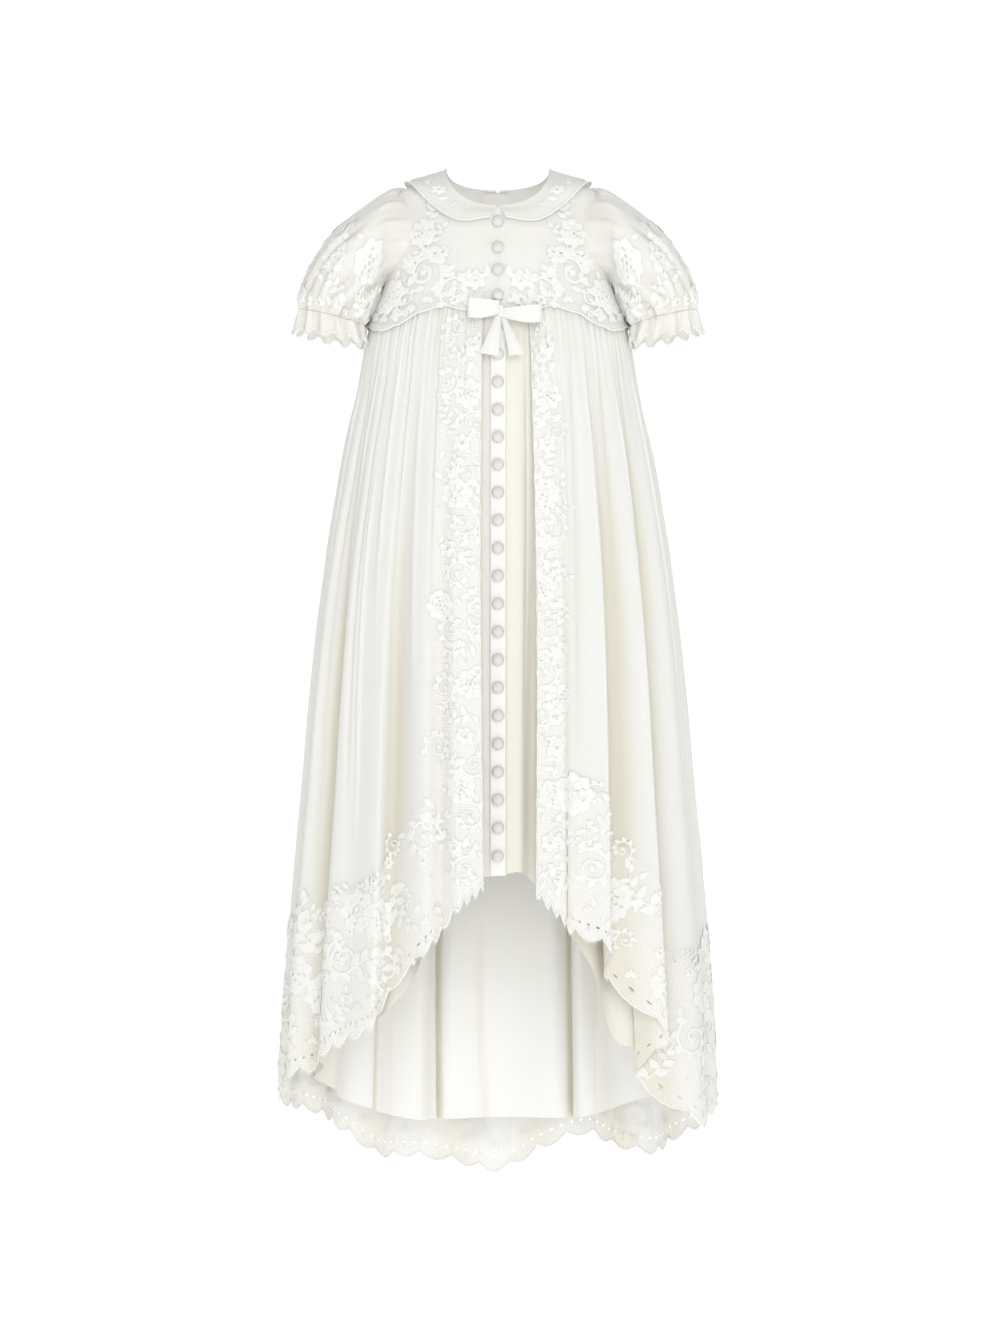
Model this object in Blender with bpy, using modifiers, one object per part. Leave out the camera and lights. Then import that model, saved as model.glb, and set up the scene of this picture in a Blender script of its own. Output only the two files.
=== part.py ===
"""A baby's long ceremonial gown: a lace yoke with puff sleeves, and an open chiffon overskirt over a satin slip.

The gown hangs hollow, as it is when worn. The origin is the middle of the neck opening, level with the
top of the collar's roll at the shoulders. X runs to the right of someone facing the front, -Y to the front, +Z up.
All sizes below are millimetres, "drop" is the distance below the origin, and angles around the gown are
degrees from the centre front through the right side (90), the back (180) and the left side (270).
"""
import math

import bpy
import numpy as np
from mathutils import Vector

MM = 0.001
GOWN = "baby_ceremonial_gown"

# Walls and seams
CLOTH_WALL = 1.0
LACE_WALL = 1.2
SEAM_GAP = 0.35
LACE_SEAM_GAP = 0.55
LAYER_GAP = 0.5

# Steps along a surface for its normals
DEGREE_STEP = 3.0
DROP_STEP = 0.4

# Neck, shoulders and armholes
NECK_HALF_WIDTH = 47.0
NECK_FRONT_DROP = 38.0
NECK_BACK_DROP = 15.0
NECK_POINT_DROP = 3.0
SHOULDER_TIP_DROP = 17.0
UNDERARM_DROP = 105.0
ARMHOLE_DEGREES = 36.0
ARMHOLE_POWER = 0.8
ARMHOLE_GAP = 1.1
SEAM_COLUMN = 0.97

# The collar's rise over the shoulder and its distance from the yoke
COLLAR_ROLL = 3.0
COLLAR_ROLL_WIDTH = 26.0
COLLAR_STAND_OFF = 0.8
COLLAR_EDGE_LIFT = 2.4

# Heights on the gown
PLACKET_LEFT = 14.0
PLACKET_RIGHT = 11.0
PLACKET_BOTTOM = 110.0
PLACKET_GAP = 0.8
OVERSKIRT_TOP = 122.0
SLIP_TOP = 124.0
PLEAT_FULL_DROP = 680.0
GATHER_END_DROP = 250.0

# Buttons, band and bow
BUTTON_RADIUS = 5.5
BUTTON_HALF_DEPTH = 3.2
YOKE_BUTTON_DROPS = (53.0, 77.0, 97.0, 120.0)
BAND_BUTTONS = 19
BAND_FIRST_BUTTON = 172.0
BAND_LAST_BUTTON = 612.0
BAND_HALF_WIDTH = 6.8
BAND_TOP = 150.0
BAND_BOTTOM = 629.0
BOW_DROP = 133.0
KNOT_CENTRE_X = 2.7
KNOT_SIZE = (5.4, 5.6, 11.0)
RIBBON_LOOP_GAP = 4.2

# Columns in each pleat, the seam gap in pleats, and rows as parts of the length
OVERSKIRT_COLUMNS = 6
SLIP_COLUMNS = 4
SEAM_MARGIN = 0.008
CHIFFON_ROWS = np.array((0.0, 0.035, 0.09, 0.17, 0.3, 0.46, 0.64, 0.82, 1.0))
SLIP_ROWS = np.array((0.0, 0.06, 0.16, 0.29, 0.44, 0.59, 0.74, 0.88, 1.0))

# Lace
HEM_BAND_FRONT = 118.0
HEM_BAND_BACK = 150.0
SCALLOP_DEPTH = 7.0
SCALLOPS_PER_PLEAT = 3
SCALLOP_SHIFT = 1.0 / 24.0 - 0.25
LACE_COLUMNS = 12
CELLS_PER_SCALLOP = 4
EYELET_TOP = 14.5
EYELET_BOTTOM = 9.5
RUFFLE_WAVES = 14
SLEEVE_GATHER = 0.045
SLEEVE_FOLD = 0.05
SLEEVE_FOLDS = 5.0
SLEEVE_CLEARANCE = 2.4
RUFFLE_FLARE = 0.08
RUFFLE_CLEARANCE = 2.0
OVERSKIRT_GATHERS = 3
OVERSKIRT_GATHER_DEPTH = 1.7
SLIP_GATHERS = 2
SLIP_GATHER_DEPTH = 0.6
SLIP_INSET_WAIST = 3.4
SLIP_INSET_SKIRT = 6.0
SLIP_INSET_FRONT = 9.0
SLIP_INSET_SIDE = 23.0
LOOP_KNOT_HEIGHT = 9.0
LEFT_LOOP_END = 27.0
LEFT_LOOP_HEIGHT = 17.0
RIGHT_LOOP_END = 39.0
RIGHT_LOOP_HEIGHT = 15.0
KNOT_BEVEL = 1.3
TAIL_END_DROP = 170.0
TAIL_CLEARANCE = 4.5
RUFFLE_DEPTH = 2.6


def table(columns, rows):
    """Turn short rows of numbers into one array for each named column."""
    return {name: np.array([row[i] for row in rows], dtype=float) for i, name in enumerate(columns)}


# The yoke's outer sections, from the neck points to the scalloped edge
YOKE = table(
    ("drop", "half_width", "half_depth"),
    (
        (3.0, 47.0, 15.0),
        (10.0, 66.0, 26.0),
        (17.0, 84.0, 33.0),
        (38.0, 90.0, 42.0),
        (62.0, 95.0, 52.0),
        (85.0, 99.0, 60.0),
        (105.0, 103.0, 65.0),
        (122.0, 110.0, 68.0),
        (135.0, 115.5, 70.0),
        (152.0, 121.0, 72.5),
    ),
)

# The lower edge of the yoke, by the angle from the centre front
YOKE_EDGE = table(
    ("angle", "drop"),
    (
        (0.0, 131.0),
        (12.0, 133.0),
        (24.0, 128.0),
        (38.0, 134.0),
        (50.0, 144.0),
        (62.0, 147.0),
        (76.0, 143.0),
        (90.0, 141.0),
        (104.0, 144.0),
        (120.0, 146.0),
        (136.0, 137.0),
        (152.0, 143.0),
        (168.0, 136.0),
        (180.0, 139.0),
    ),
)

# The collar's outer edge, by the angle around the neck
COLLAR = table(
    ("angle", "outer_x", "outer_drop"),
    (
        (0.0, 4.0, 48.5),
        (16.0, 27.0, 51.0),
        (36.0, 46.0, 45.0),
        (56.0, 61.0, 32.0),
        (76.0, 75.0, 18.0),
        (90.0, 80.0, 15.5),
        (108.0, 75.0, 20.0),
        (135.0, 58.0, 34.0),
        (160.0, 30.0, 42.0),
        (178.0, 3.0, 43.0),
    ),
)

# The outer sections of the overskirt, where its pleats are full out
SKIRT = table(
    ("drop", "half_width", "half_depth"),
    (
        (118.0, 106.2, 65.2),
        (122.0, 107.8, 65.8),
        (135.0, 113.2, 67.8),
        (152.0, 118.6, 70.2),
        (161.0, 120.5, 71.8),
        (198.0, 127.0, 77.0),
        (252.0, 138.0, 84.0),
        (306.0, 148.0, 91.0),
        (360.0, 157.0, 97.0),
        (468.0, 170.0, 107.0),
        (549.0, 177.0, 114.0),
        (630.0, 184.5, 120.0),
        (711.0, 191.0, 125.0),
        (792.0, 196.0, 129.0),
        (930.0, 200.0, 133.0),
    ),
)

# Half pleats from the right front edge round the back to the left front edge: the angle at the waist and
# at the hem, the drop of the hem there, and how far the cloth lies inside the outer section
PLEAT_COLUMNS = ("waist_angle", "hem_angle", "hem_drop", "inward")
OVERSKIRT_PLEATS = table(
    PLEAT_COLUMNS,
    (
        (14.0, 10.0, 638.0, 0.0),
        (18.0, 14.0, 650.0, 1.0),
        (22.0, 17.5, 661.0, 0.0),
        (27.0, 21.0, 673.0, 7.0),
        (38.0, 31.0, 687.0, 0.0),
        (44.0, 32.5, 716.0, 20.0),
        (54.0, 50.0, 766.0, 0.0),
        (60.0, 43.5, 803.0, 26.0),
        (72.0, 66.0, 846.0, 1.0),
        (80.0, 78.0, 844.0, 7.0),
        (88.0, 90.0, 834.0, 0.0),
        (98.0, 101.0, 846.0, 8.0),
        (108.0, 112.0, 860.0, 0.0),
        (118.0, 123.0, 876.0, 13.0),
        (128.0, 134.0, 890.0, 0.0),
        (137.0, 145.0, 884.0, 14.0),
        (147.0, 156.0, 876.0, 0.0),
        (162.0, 168.0, 890.0, 12.0),
        (180.0, 180.0, 912.0, 0.0),
        (196.0, 192.0, 902.0, 12.0),
        (210.0, 205.0, 897.0, 0.0),
        (221.0, 216.0, 892.0, 13.0),
        (231.0, 227.0, 868.0, 0.0),
        (241.0, 238.0, 852.0, 12.0),
        (252.0, 248.0, 843.0, 0.0),
        (261.0, 259.0, 839.0, 8.0),
        (271.0, 270.0, 830.0, 0.0),
        (280.0, 279.0, 813.0, 7.0),
        (288.0, 288.0, 805.0, 0.0),
        (297.0, 298.0, 795.0, 17.0),
        (304.0, 308.0, 781.0, 0.0),
        (311.0, 316.0, 768.0, 4.0),
        (319.0, 325.0, 756.0, 0.0),
        (325.0, 327.5, 732.0, 15.0),
        (334.0, 340.0, 690.0, 0.0),
        (339.0, 344.0, 674.0, 9.0),
        (344.0, 349.5, 651.0, 0.0),
        (348.5, 353.0, 641.0, 1.0),
        (353.0, 356.4, 633.0, 0.0),
    ),
)

# Seams of the overskirt, in pleats from its right front edge: the two lace borders and the two sides
RIGHT_BORDER = 1.25
RIGHT_SIDE = 5.25
LEFT_SIDE = 13.25
LEFT_BORDER = 17.25

# Seams of the slip, in pleats from under the button band
SLIP_RIGHT_SIDE = 5.25
SLIP_BACK = 9.5
SLIP_LEFT_SIDE = 13.75

# Half pleats of the slip, from under the button band round to the band again
SLIP_PLEATS = table(
    PLEAT_COLUMNS,
    (
        (1.6, 1.0, 629.0, 1.0),
        (8.5, 5.8, 626.0, 0.0),
        (14.0, 9.5, 634.0, 9.0),
        (21.0, 15.0, 655.0, 0.0),
        (28.0, 21.0, 676.0, 8.0),
        (37.0, 29.0, 712.0, 0.0),
        (46.0, 37.0, 772.0, 8.0),
        (55.0, 47.0, 784.0, 0.0),
        (65.0, 58.0, 790.0, 9.0),
        (75.0, 70.0, 795.0, 0.0),
        (86.0, 84.0, 800.0, 10.0),
        (97.0, 98.0, 811.0, 0.0),
        (108.0, 111.0, 824.0, 13.0),
        (119.0, 124.0, 838.0, 0.0),
        (131.0, 136.0, 848.0, 14.0),
        (142.0, 147.0, 858.0, 0.0),
        (150.0, 153.0, 862.0, 12.0),
        (157.0, 158.0, 864.0, 0.0),
        (163.0, 163.5, 864.0, 12.0),
        (180.0, 179.0, 864.0, 8.0),
        (192.0, 194.0, 865.0, 12.0),
        (199.0, 199.5, 866.0, 0.0),
        (207.0, 206.0, 865.0, 13.0),
        (217.0, 215.0, 860.0, 0.0),
        (228.0, 225.0, 852.0, 13.0),
        (239.0, 236.0, 842.0, 0.0),
        (250.0, 248.0, 831.0, 12.0),
        (261.0, 260.0, 819.0, 0.0),
        (272.0, 272.0, 807.0, 10.0),
        (283.0, 284.0, 795.0, 0.0),
        (294.0, 295.0, 783.0, 9.0),
        (305.0, 306.0, 774.0, 0.0),
        (315.0, 317.0, 762.0, 9.0),
        (324.0, 326.0, 748.0, 0.0),
        (332.0, 333.0, 722.0, 9.0),
        (339.0, 340.0, 684.0, 0.0),
        (344.0, 346.0, 660.0, 8.0),
        (349.0, 351.0, 642.0, 2.0),
        (353.3, 355.6, 631.0, 0.0),
        (358.4, 359.0, 630.0, 1.0),
    ),
)

# The puff sleeve from armhole to elastic: its outer and inner rails seen from the front, and its reach
# to the front and to the back
SLEEVE = table(
    ("along", "outer_x", "outer_drop", "inner_x", "inner_drop", "front", "back"),
    (
        (0.0, 84.0, 15.0, 103.0, 106.0, 33.0, 33.0),
        (0.12, 101.0, 21.0, 104.0, 112.0, 46.0, 43.0),
        (0.28, 127.0, 38.0, 105.0, 120.0, 54.0, 49.0),
        (0.46, 151.0, 60.0, 107.0, 127.0, 57.0, 51.0),
        (0.64, 168.0, 86.0, 110.0, 133.0, 55.0, 49.0),
        (0.82, 177.5, 110.0, 114.0, 138.0, 47.0, 42.0),
        (1.0, 179.0, 126.0, 118.0, 141.0, 37.0, 33.0),
    ),
)
RUFFLE_OUTER = (183.0, 144.0)
RUFFLE_INNER = (112.0, 157.0)
RUFFLE_FRONT = 42.0
RUFFLE_BACK = 38.0

# Colour, roughness and sheen of each cloth
FINISHES = {
    "chiffon": ((0.87, 0.85, 0.79), 0.72),
    "lace": ((0.86, 0.83, 0.76), 0.78),
    "yoke": ((0.84, 0.81, 0.74), 0.75),
    "satin": ((0.90, 0.89, 0.84), 0.32),
}


def curve(at, knots, values):
    """Smooth curve through the knots: a cubic between two knots, with slopes taken from their neighbours."""
    slopes = np.gradient(values, knots)
    k = np.clip(np.searchsorted(knots, at, side="right") - 1, 0, len(knots) - 2)
    width = knots[k + 1] - knots[k]
    f = np.clip((at - knots[k]) / width, 0.0, 1.0)
    rising = f * f * (3.0 - 2.0 * f)
    bend = f * (1.0 - f) * width
    return values[k] + (values[k + 1] - values[k]) * rising + bend * ((1.0 - f) * slopes[k] - f * slopes[k + 1])


def ease(value):
    """Rise smoothly from 0 to 1."""
    value = np.clip(value, 0.0, 1.0)
    return value * value * (3.0 - 2.0 * value)


def section_point(half_width, half_depth, angle, drop, outward):
    """Point on an oval section at an angle from the centre front, moved out along the oval's normal."""
    side = np.sin(np.radians(angle))
    front = np.cos(np.radians(angle))
    normal_x = side / half_width
    normal_y = -front / half_depth
    length = np.hypot(normal_x, normal_y)
    x = half_width * side + outward * normal_x / length
    y = -half_depth * front + outward * normal_y / length
    return np.stack(np.broadcast_arrays(x, y, -drop), axis=-1)


def yoke_point(angle, drop, outward=0.0):
    """Point on the yoke's outer face."""
    half_width = curve(drop, YOKE["drop"], YOKE["half_width"])
    half_depth = curve(drop, YOKE["drop"], YOKE["half_depth"])
    return section_point(half_width, half_depth, angle, drop, outward)


class Skirt:
    """A gathered skirt layer: pleat number and drop give a point on its outer face."""

    def __init__(self, pleats, gathers, gather_depth, inset):
        self.pleats = pleats
        self.gathers = gathers
        self.gather_depth = gather_depth
        self.inset = inset
        self.numbers = np.arange(len(pleats["inward"])) / 2.0
        self.last = self.numbers[-1]

    def column(self, name, number):
        return curve(number, self.numbers, self.pleats[name])

    def hem(self, number):
        return self.column("hem_drop", number)

    def inward(self, number):
        """Depth inside the outer section: a cosine from each ridge to the next valley."""
        half = np.clip(np.floor(number * 2.0).astype(int), 0, len(self.numbers) - 2)
        f = number * 2.0 - half
        values = self.pleats["inward"]
        return values[half] + (values[half + 1] - values[half]) * (1.0 - np.cos(np.pi * f)) / 2.0

    def point(self, number, drop, outward=0.0):
        down = np.clip((drop - OVERSKIRT_TOP) / (PLEAT_FULL_DROP - OVERSKIRT_TOP), 0.0, 1.0)
        waist_angle = self.column("waist_angle", number)
        angle = waist_angle + (self.column("hem_angle", number) - waist_angle) * down
        gather_fade = 1.0 - ease((drop - OVERSKIRT_TOP) / (GATHER_END_DROP - OVERSKIRT_TOP))
        gather_wave = (1.0 - np.cos(2.0 * np.pi * self.gathers * number)) / 2.0
        inward = self.inward(number) * ease(down * 1.25) + self.gather_depth * gather_wave * gather_fade
        inward = inward + self.inset(angle, drop)
        half_width = curve(drop, SKIRT["drop"], SKIRT["half_width"])
        half_depth = curve(drop, SKIRT["drop"], SKIRT["half_depth"])
        return section_point(half_width, half_depth, angle, drop, outward - inward)


def no_inset(angle, drop):
    return 0.0


def slip_inset(angle, drop):
    """The slip hangs just inside the overskirt's waist, and lower down clear of its deepest pleats."""
    down = ease((drop - SLIP_TOP) / (PLEAT_FULL_DROP - SLIP_TOP) * 1.25)
    from_front = np.minimum(angle, 360.0 - angle)
    deep = SLIP_INSET_FRONT + (SLIP_INSET_SIDE - SLIP_INSET_FRONT) * ease((from_front - 8.0) / 20.0)
    gathered = SLIP_INSET_WAIST + (SLIP_INSET_SKIRT - SLIP_INSET_WAIST) * ease((drop - SLIP_TOP) / 60.0)
    return gathered + deep * down


OVERSKIRT = Skirt(OVERSKIRT_PLEATS, OVERSKIRT_GATHERS, OVERSKIRT_GATHER_DEPTH, no_inset)
SLIP = Skirt(SLIP_PLEATS, SLIP_GATHERS, SLIP_GATHER_DEPTH, slip_inset)


def lace_top(number):
    """Drop at which the hem lace starts: its band is deeper at the sides and back."""
    angle = OVERSKIRT.column("hem_angle", number)
    band = HEM_BAND_FRONT + (HEM_BAND_BACK - HEM_BAND_FRONT) * ease((1.0 - np.cos(np.radians(angle))) / 1.3)
    return OVERSKIRT.hem(number) - band


def scallop(number):
    """Extra drop of the scalloped hem: rounded lobes between notches, each centred on a lace cell."""
    return SCALLOP_DEPTH * np.abs(np.sin(np.pi * SCALLOPS_PER_PLEAT * (number + SCALLOP_SHIFT)))


def normals(down, around):
    """Unit normals from the two directions of a grid."""
    normal = np.cross(down, around)
    return normal / np.linalg.norm(normal, axis=-1, keepdims=True)


def surface_normals(surface, around, drop, step):
    """Normals of a surface given by a function, so that two panels agree where they meet.

    Each is the mean of the normals of the stretches before and after the point, one step of the columns
    long, which keeps the wall on the right side where a fold turns back on itself.
    """
    here = surface(around, drop)
    down = surface(around, drop + DROP_STEP) - surface(around, drop - DROP_STEP)
    before = normals(down, here - surface(around - step, drop))
    after = normals(down, surface(around + step, drop) - here)
    mean = before + after
    return mean / np.linalg.norm(mean, axis=-1, keepdims=True)


def grid_normals(points, ring=False):
    """Normals of a grid from its own points."""
    if ring:
        around = np.roll(points, -1, axis=1) - np.roll(points, 1, axis=1)
    else:
        around = np.gradient(points, axis=1)
    return normals(np.gradient(points, axis=0), around)


def wall(name, outer, inner, material, ring=False, holes=()):
    """Make one closed wall between two grids of points (rows down, columns around).

    The grids are the wall's two faces, so its ends stay square to the cloth and meet the next panel along
    one straight gap. Each cell is split along the same diagonal on both faces, which keeps a twisted cell
    as thick as the rest. A ring joins the last column to the first. Holes are (row, column) cells left open.
    """
    rows, columns = outer.shape[:2]
    across = columns if ring else columns - 1
    cells = {(row, column) for row in range(rows - 1) for column in range(across)} - set(holes)
    faces = []
    for row, column in sorted(cells):
        after = (column + 1) % columns
        before = (column - 1) % columns if ring else column - 1
        corners = [(row, column), (row + 1, column), (row + 1, after), (row, after)]
        front = [r * columns + c for r, c in corners]
        back = [index + rows * columns for index in front]
        for half in ((0, 1, 2), (0, 2, 3)):
            faces.append([front[corner] for corner in half])
            faces.append([back[corner] for corner in half[::-1]])
        neighbours = ((row, before), (row + 1, column), (row, after), (row - 1, column))
        for side, neighbour in enumerate(neighbours):
            if neighbour not in cells:
                end = (side + 1) % 4
                faces.append((front[end], front[side], back[side], back[end]))
    mesh = bpy.data.meshes.new(name)
    points = np.concatenate((outer.reshape(-1, 3), inner.reshape(-1, 3)))
    mesh.from_pydata((points * MM).tolist(), [], faces)
    mesh.update()
    mesh.materials.append(material)
    mesh.shade_smooth()
    mesh.set_sharp_from_angle(angle=math.radians(40.0))
    piece = bpy.data.objects.new(name, mesh)
    bpy.context.scene.collection.children[GOWN].objects.link(piece)


def pair(name, outer, inner, material, ring=False):
    """The right piece, and its mirror image on the left with the columns run the other way round."""
    flip = np.array((-1.0, 1.0, 1.0))
    wall(name + "_right", outer, inner, material, ring)
    wall(name + "_left", outer[:, ::-1] * flip, inner[:, ::-1] * flip, material, ring)


def ribbon(name, points, material, left=False):
    """A wall that lies behind a grid of points."""
    inner = points - grid_normals(points) * CLOTH_WALL
    if left:
        flip = np.array((-1.0, 1.0, 1.0))
        points = points[:, ::-1] * flip
        inner = inner[:, ::-1] * flip
    wall(name, points, inner, material)


def yoke_drops(edge):
    """Rows of the yoke from the neck points to its edge; the lowest rows follow the scallops."""
    upper = np.array((3.8, 7.0, 11.0, SHOULDER_TIP_DROP, 25.0, 38.0, 52.0, 68.0, 84.0, 98.0, UNDERARM_DROP))
    lower = UNDERARM_DROP + np.array((0.36, 0.7, 1.0))[:, None] * (edge - UNDERARM_DROP)
    return np.vstack((np.repeat(upper[:, None], len(edge), axis=1), lower))


def armhole_reach(drop):
    """Degrees that the armhole takes out of a yoke panel at this drop."""
    middle = (UNDERARM_DROP + SHOULDER_TIP_DROP) / 2.0
    half = (UNDERARM_DROP - SHOULDER_TIP_DROP) / 2.0
    return ARMHOLE_DEGREES * np.clip(1.0 - ((drop - middle) / half) ** 2, 0.0, 1.0) ** ARMHOLE_POWER


def neck_angle(drop, neck_drop):
    """Angle from the centre at which the neck edge lies at this drop, 0 below the neck."""
    level = (drop - NECK_POINT_DROP) / (neck_drop - NECK_POINT_DROP)
    neck_x = NECK_HALF_WIDTH * np.sqrt(np.clip(1.0 - level ** 2, 0.0, 1.0))
    half_width = curve(drop, YOKE["drop"], YOKE["half_width"])
    return np.degrees(np.arcsin(np.clip(neck_x / half_width, 0.0, 1.0)))


def seam_angle(drop, gap):
    """Angle that half a seam gap takes at the centre line of the yoke."""
    return np.degrees(gap / 2.0 / curve(drop, YOKE["drop"], YOKE["half_width"]))


def side_angle(drop, gap):
    """Angle that half a seam gap takes at the side of the yoke."""
    return np.degrees(gap / 2.0 / curve(drop, YOKE["drop"], YOKE["half_depth"]))


def yoke_grid(back, columns=8):
    """Points of the right front or right back yoke panel; a narrow last column keeps the seam's end square."""
    across = np.append(np.linspace(0.0, SEAM_COLUMN, columns), 1.0)
    neck_drop = NECK_BACK_DROP if back else NECK_FRONT_DROP
    lower_angles = across * 90.0
    edge = curve(180.0 - lower_angles if back else lower_angles, YOKE_EDGE["angle"], YOKE_EDGE["drop"])
    drop = yoke_drops(edge)
    inner = np.maximum(neck_angle(drop, neck_drop), seam_angle(drop, SEAM_GAP))
    outer = 90.0 - np.maximum(armhole_reach(drop), side_angle(drop, SEAM_GAP))
    angle = inner + (outer - inner) * across
    if back:
        angle = 180.0 - angle[:, ::-1]
        drop = drop[:, ::-1]
    outer = yoke_point(angle, drop)
    return outer, outer - surface_normals(yoke_point, angle, drop, DEGREE_STEP) * LACE_WALL


def build_yoke(materials):
    pair("bodice_front", *yoke_grid(back=False), materials["yoke"])
    pair("bodice_back", *yoke_grid(back=True), materials["yoke"])


def build_placket(materials):
    """The strip inside the centre back, under the neck edge."""
    drop = np.linspace(NECK_BACK_DROP + 3.0, PLACKET_BOTTOM, 7)[:, None]
    half_width = curve(drop, YOKE["drop"], YOKE["half_width"])
    x = np.array((PLACKET_RIGHT, 0.0, -PLACKET_LEFT))
    angle = 180.0 - np.degrees(np.arcsin(x / half_width))
    ribbon("back_placket", yoke_point(angle, drop, -LACE_WALL - PLACKET_GAP), materials["yoke"])


def collar_grid(rows=4):
    """Right collar half: from the neck edge out over the shoulder, standing off a little at its outer edge."""
    beside = np.array((7.0, 14.0, 24.0, 36.0, 50.0, 64.0, 77.0, 88.5))
    around = np.concatenate((90.0 - beside[::-1], (90.0,), 90.0 + beside))
    across = np.linspace(0.0, 1.0, rows)[:, None]
    cosine = np.cos(np.radians(around))
    reach = np.where(cosine > 0.0, NECK_FRONT_DROP, NECK_BACK_DROP) - NECK_POINT_DROP
    neck_drop = NECK_POINT_DROP + 0.6 + reach * np.abs(cosine)
    neck_x = np.maximum(NECK_HALF_WIDTH * np.sin(np.radians(around)), 0.8)
    outer_x = curve(around, COLLAR["angle"], COLLAR["outer_x"])
    outer_drop = curve(around, COLLAR["angle"], COLLAR["outer_drop"])
    x = neck_x + (outer_x - neck_x) * across
    drop = neck_drop + (outer_drop - neck_drop) * across
    half_width = curve(drop, YOKE["drop"], YOKE["half_width"])
    angle = np.degrees(np.arcsin(np.clip(x / half_width, 0.0, 1.0)))
    angle = np.where(around > 90.0, 180.0 - angle, angle)
    angle = np.where(around == 90.0, 90.0, angle)
    points = yoke_point(angle, drop, COLLAR_STAND_OFF + COLLAR_EDGE_LIFT * across ** 1.5)
    over_shoulder = np.exp(-((around - 90.0) / COLLAR_ROLL_WIDTH) ** 2)
    points[..., 2] += COLLAR_ROLL * over_shoulder
    return points


def build_collar(materials):
    half = collar_grid()
    pair("collar", half + grid_normals(half) * LACE_WALL, half, materials["lace"])


def clear_of_body(points, clearance):
    """Push points that would lie inside the yoke or the skirt out to this clearance."""
    drop = -points[..., 2]
    half_width = np.maximum(
        curve(drop, YOKE["drop"], YOKE["half_width"]) * (drop < YOKE["drop"][-1]),
        curve(drop, SKIRT["drop"], SKIRT["half_width"]) * (drop > OVERSKIRT_TOP),
    )
    half_depth = np.maximum(
        curve(drop, YOKE["drop"], YOKE["half_depth"]) * (drop < YOKE["drop"][-1]),
        curve(drop, SKIRT["drop"], SKIRT["half_depth"]) * (drop > OVERSKIRT_TOP),
    )
    level = np.hypot(points[..., 0] / (half_width + clearance), points[..., 1] / (half_depth + clearance))
    factor = np.where(level < 1.0, 1.0 / np.maximum(level, 0.2), 1.0)
    moved = points.copy()
    moved[..., 0] *= factor
    moved[..., 1] *= factor
    return moved


def ring_points(outer_x, outer_drop, inner_x, inner_drop, front, back, turn):
    """Points of an oval ring between two rails; turn 0 is the outer rail, a quarter turn the front."""
    cosine = np.cos(turn)
    sine = np.sin(turn)
    x = (outer_x + inner_x) / 2.0 + (outer_x - inner_x) / 2.0 * cosine
    drop = (outer_drop + inner_drop) / 2.0 + (outer_drop - inner_drop) / 2.0 * cosine
    y = np.where(sine > 0.0, -front * sine, -back * sine)
    return np.stack(np.broadcast_arrays(x, y, -drop), axis=-1)


def armhole_ring(turn, outward):
    """The armhole edge of the yoke, moved out."""
    middle = (UNDERARM_DROP + SHOULDER_TIP_DROP) / 2.0
    half = (UNDERARM_DROP - SHOULDER_TIP_DROP) / 2.0
    reach = np.sign(np.sin(turn)) * np.abs(np.sin(turn)) ** (2.0 * ARMHOLE_POWER)
    return yoke_point(90.0 - ARMHOLE_DEGREES * reach, middle - half * np.cos(turn), outward)


def sleeve_grid(columns=2 * RUFFLE_WAVES, rows=8):
    """Right puff sleeve: rings between its rails, gathered at both ends."""
    turn = -np.linspace(0.0, 2.0 * np.pi, columns, endpoint=False)[None, :]
    along = np.linspace(0.0, 1.0, rows)[:, None]
    values = [curve(along, SLEEVE["along"], SLEEVE[name]) for name in
              ("outer_x", "outer_drop", "inner_x", "inner_drop", "front", "back")]
    centre = ring_points(*values, np.pi / 2.0)
    centre[..., 1] = 0.0
    rings = ring_points(*values, turn)
    near_ends = 1.0 - ease(np.minimum(along, 1.0 - along) * 4.0)
    gather = SLEEVE_GATHER * np.cos(turn * RUFFLE_WAVES) * near_ends
    between = ease(along * 3.0) * ease((1.0 - along) * 5.0)
    folds = SLEEVE_FOLD * np.cos(turn * SLEEVE_FOLDS + 1.2) * between
    rings = centre + (rings - centre) * (1.0 + gather + folds)[..., None]
    rings = clear_of_body(rings, SLEEVE_CLEARANCE)
    rings[0] = armhole_ring(turn[0], ARMHOLE_GAP)
    return rings


def ruffle_grid(elastic, rows=3):
    """Lace frill of the right sleeve: from the sleeve's last ring to a flared, scalloped edge."""
    turn = -np.linspace(0.0, 2.0 * np.pi, len(elastic), endpoint=False)
    edge = ring_points(*RUFFLE_OUTER, *RUFFLE_INNER, RUFFLE_FRONT, RUFFLE_BACK, turn)
    centre = ring_points(*RUFFLE_OUTER, *RUFFLE_INNER, RUFFLE_FRONT, RUFFLE_BACK, np.pi / 2.0) * (1.0, 0.0, 1.0)
    wave = np.cos(turn * RUFFLE_WAVES)[:, None]
    edge = centre + (edge - centre) * (1.0 + RUFFLE_FLARE * wave) - (0.0, 0.0, RUFFLE_DEPTH) * wave
    start = elastic - (0.0, 0.0, LAYER_GAP)
    along = np.linspace(0.0, 1.0, rows)[:, None, None]
    frill = clear_of_body(start + (edge - start) * along, RUFFLE_CLEARANCE)
    frill[0] = start
    return frill


def build_sleeves(materials):
    """Sleeve and frill share one run of rings, so that their walls end square to each other at the elastic."""
    sleeve = sleeve_grid()
    frill = ruffle_grid(sleeve[-1])
    rings = np.concatenate((sleeve, frill[1:]))
    normal = grid_normals(rings, ring=True)
    last = len(sleeve) - 1
    pair("sleeve", sleeve + normal[:last + 1] * CLOTH_WALL, sleeve, materials["chiffon"], ring=True)
    pair("sleeve_ruffle", frill + normal[last:] * CLOTH_WALL, frill, materials["lace"], ring=True)


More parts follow.
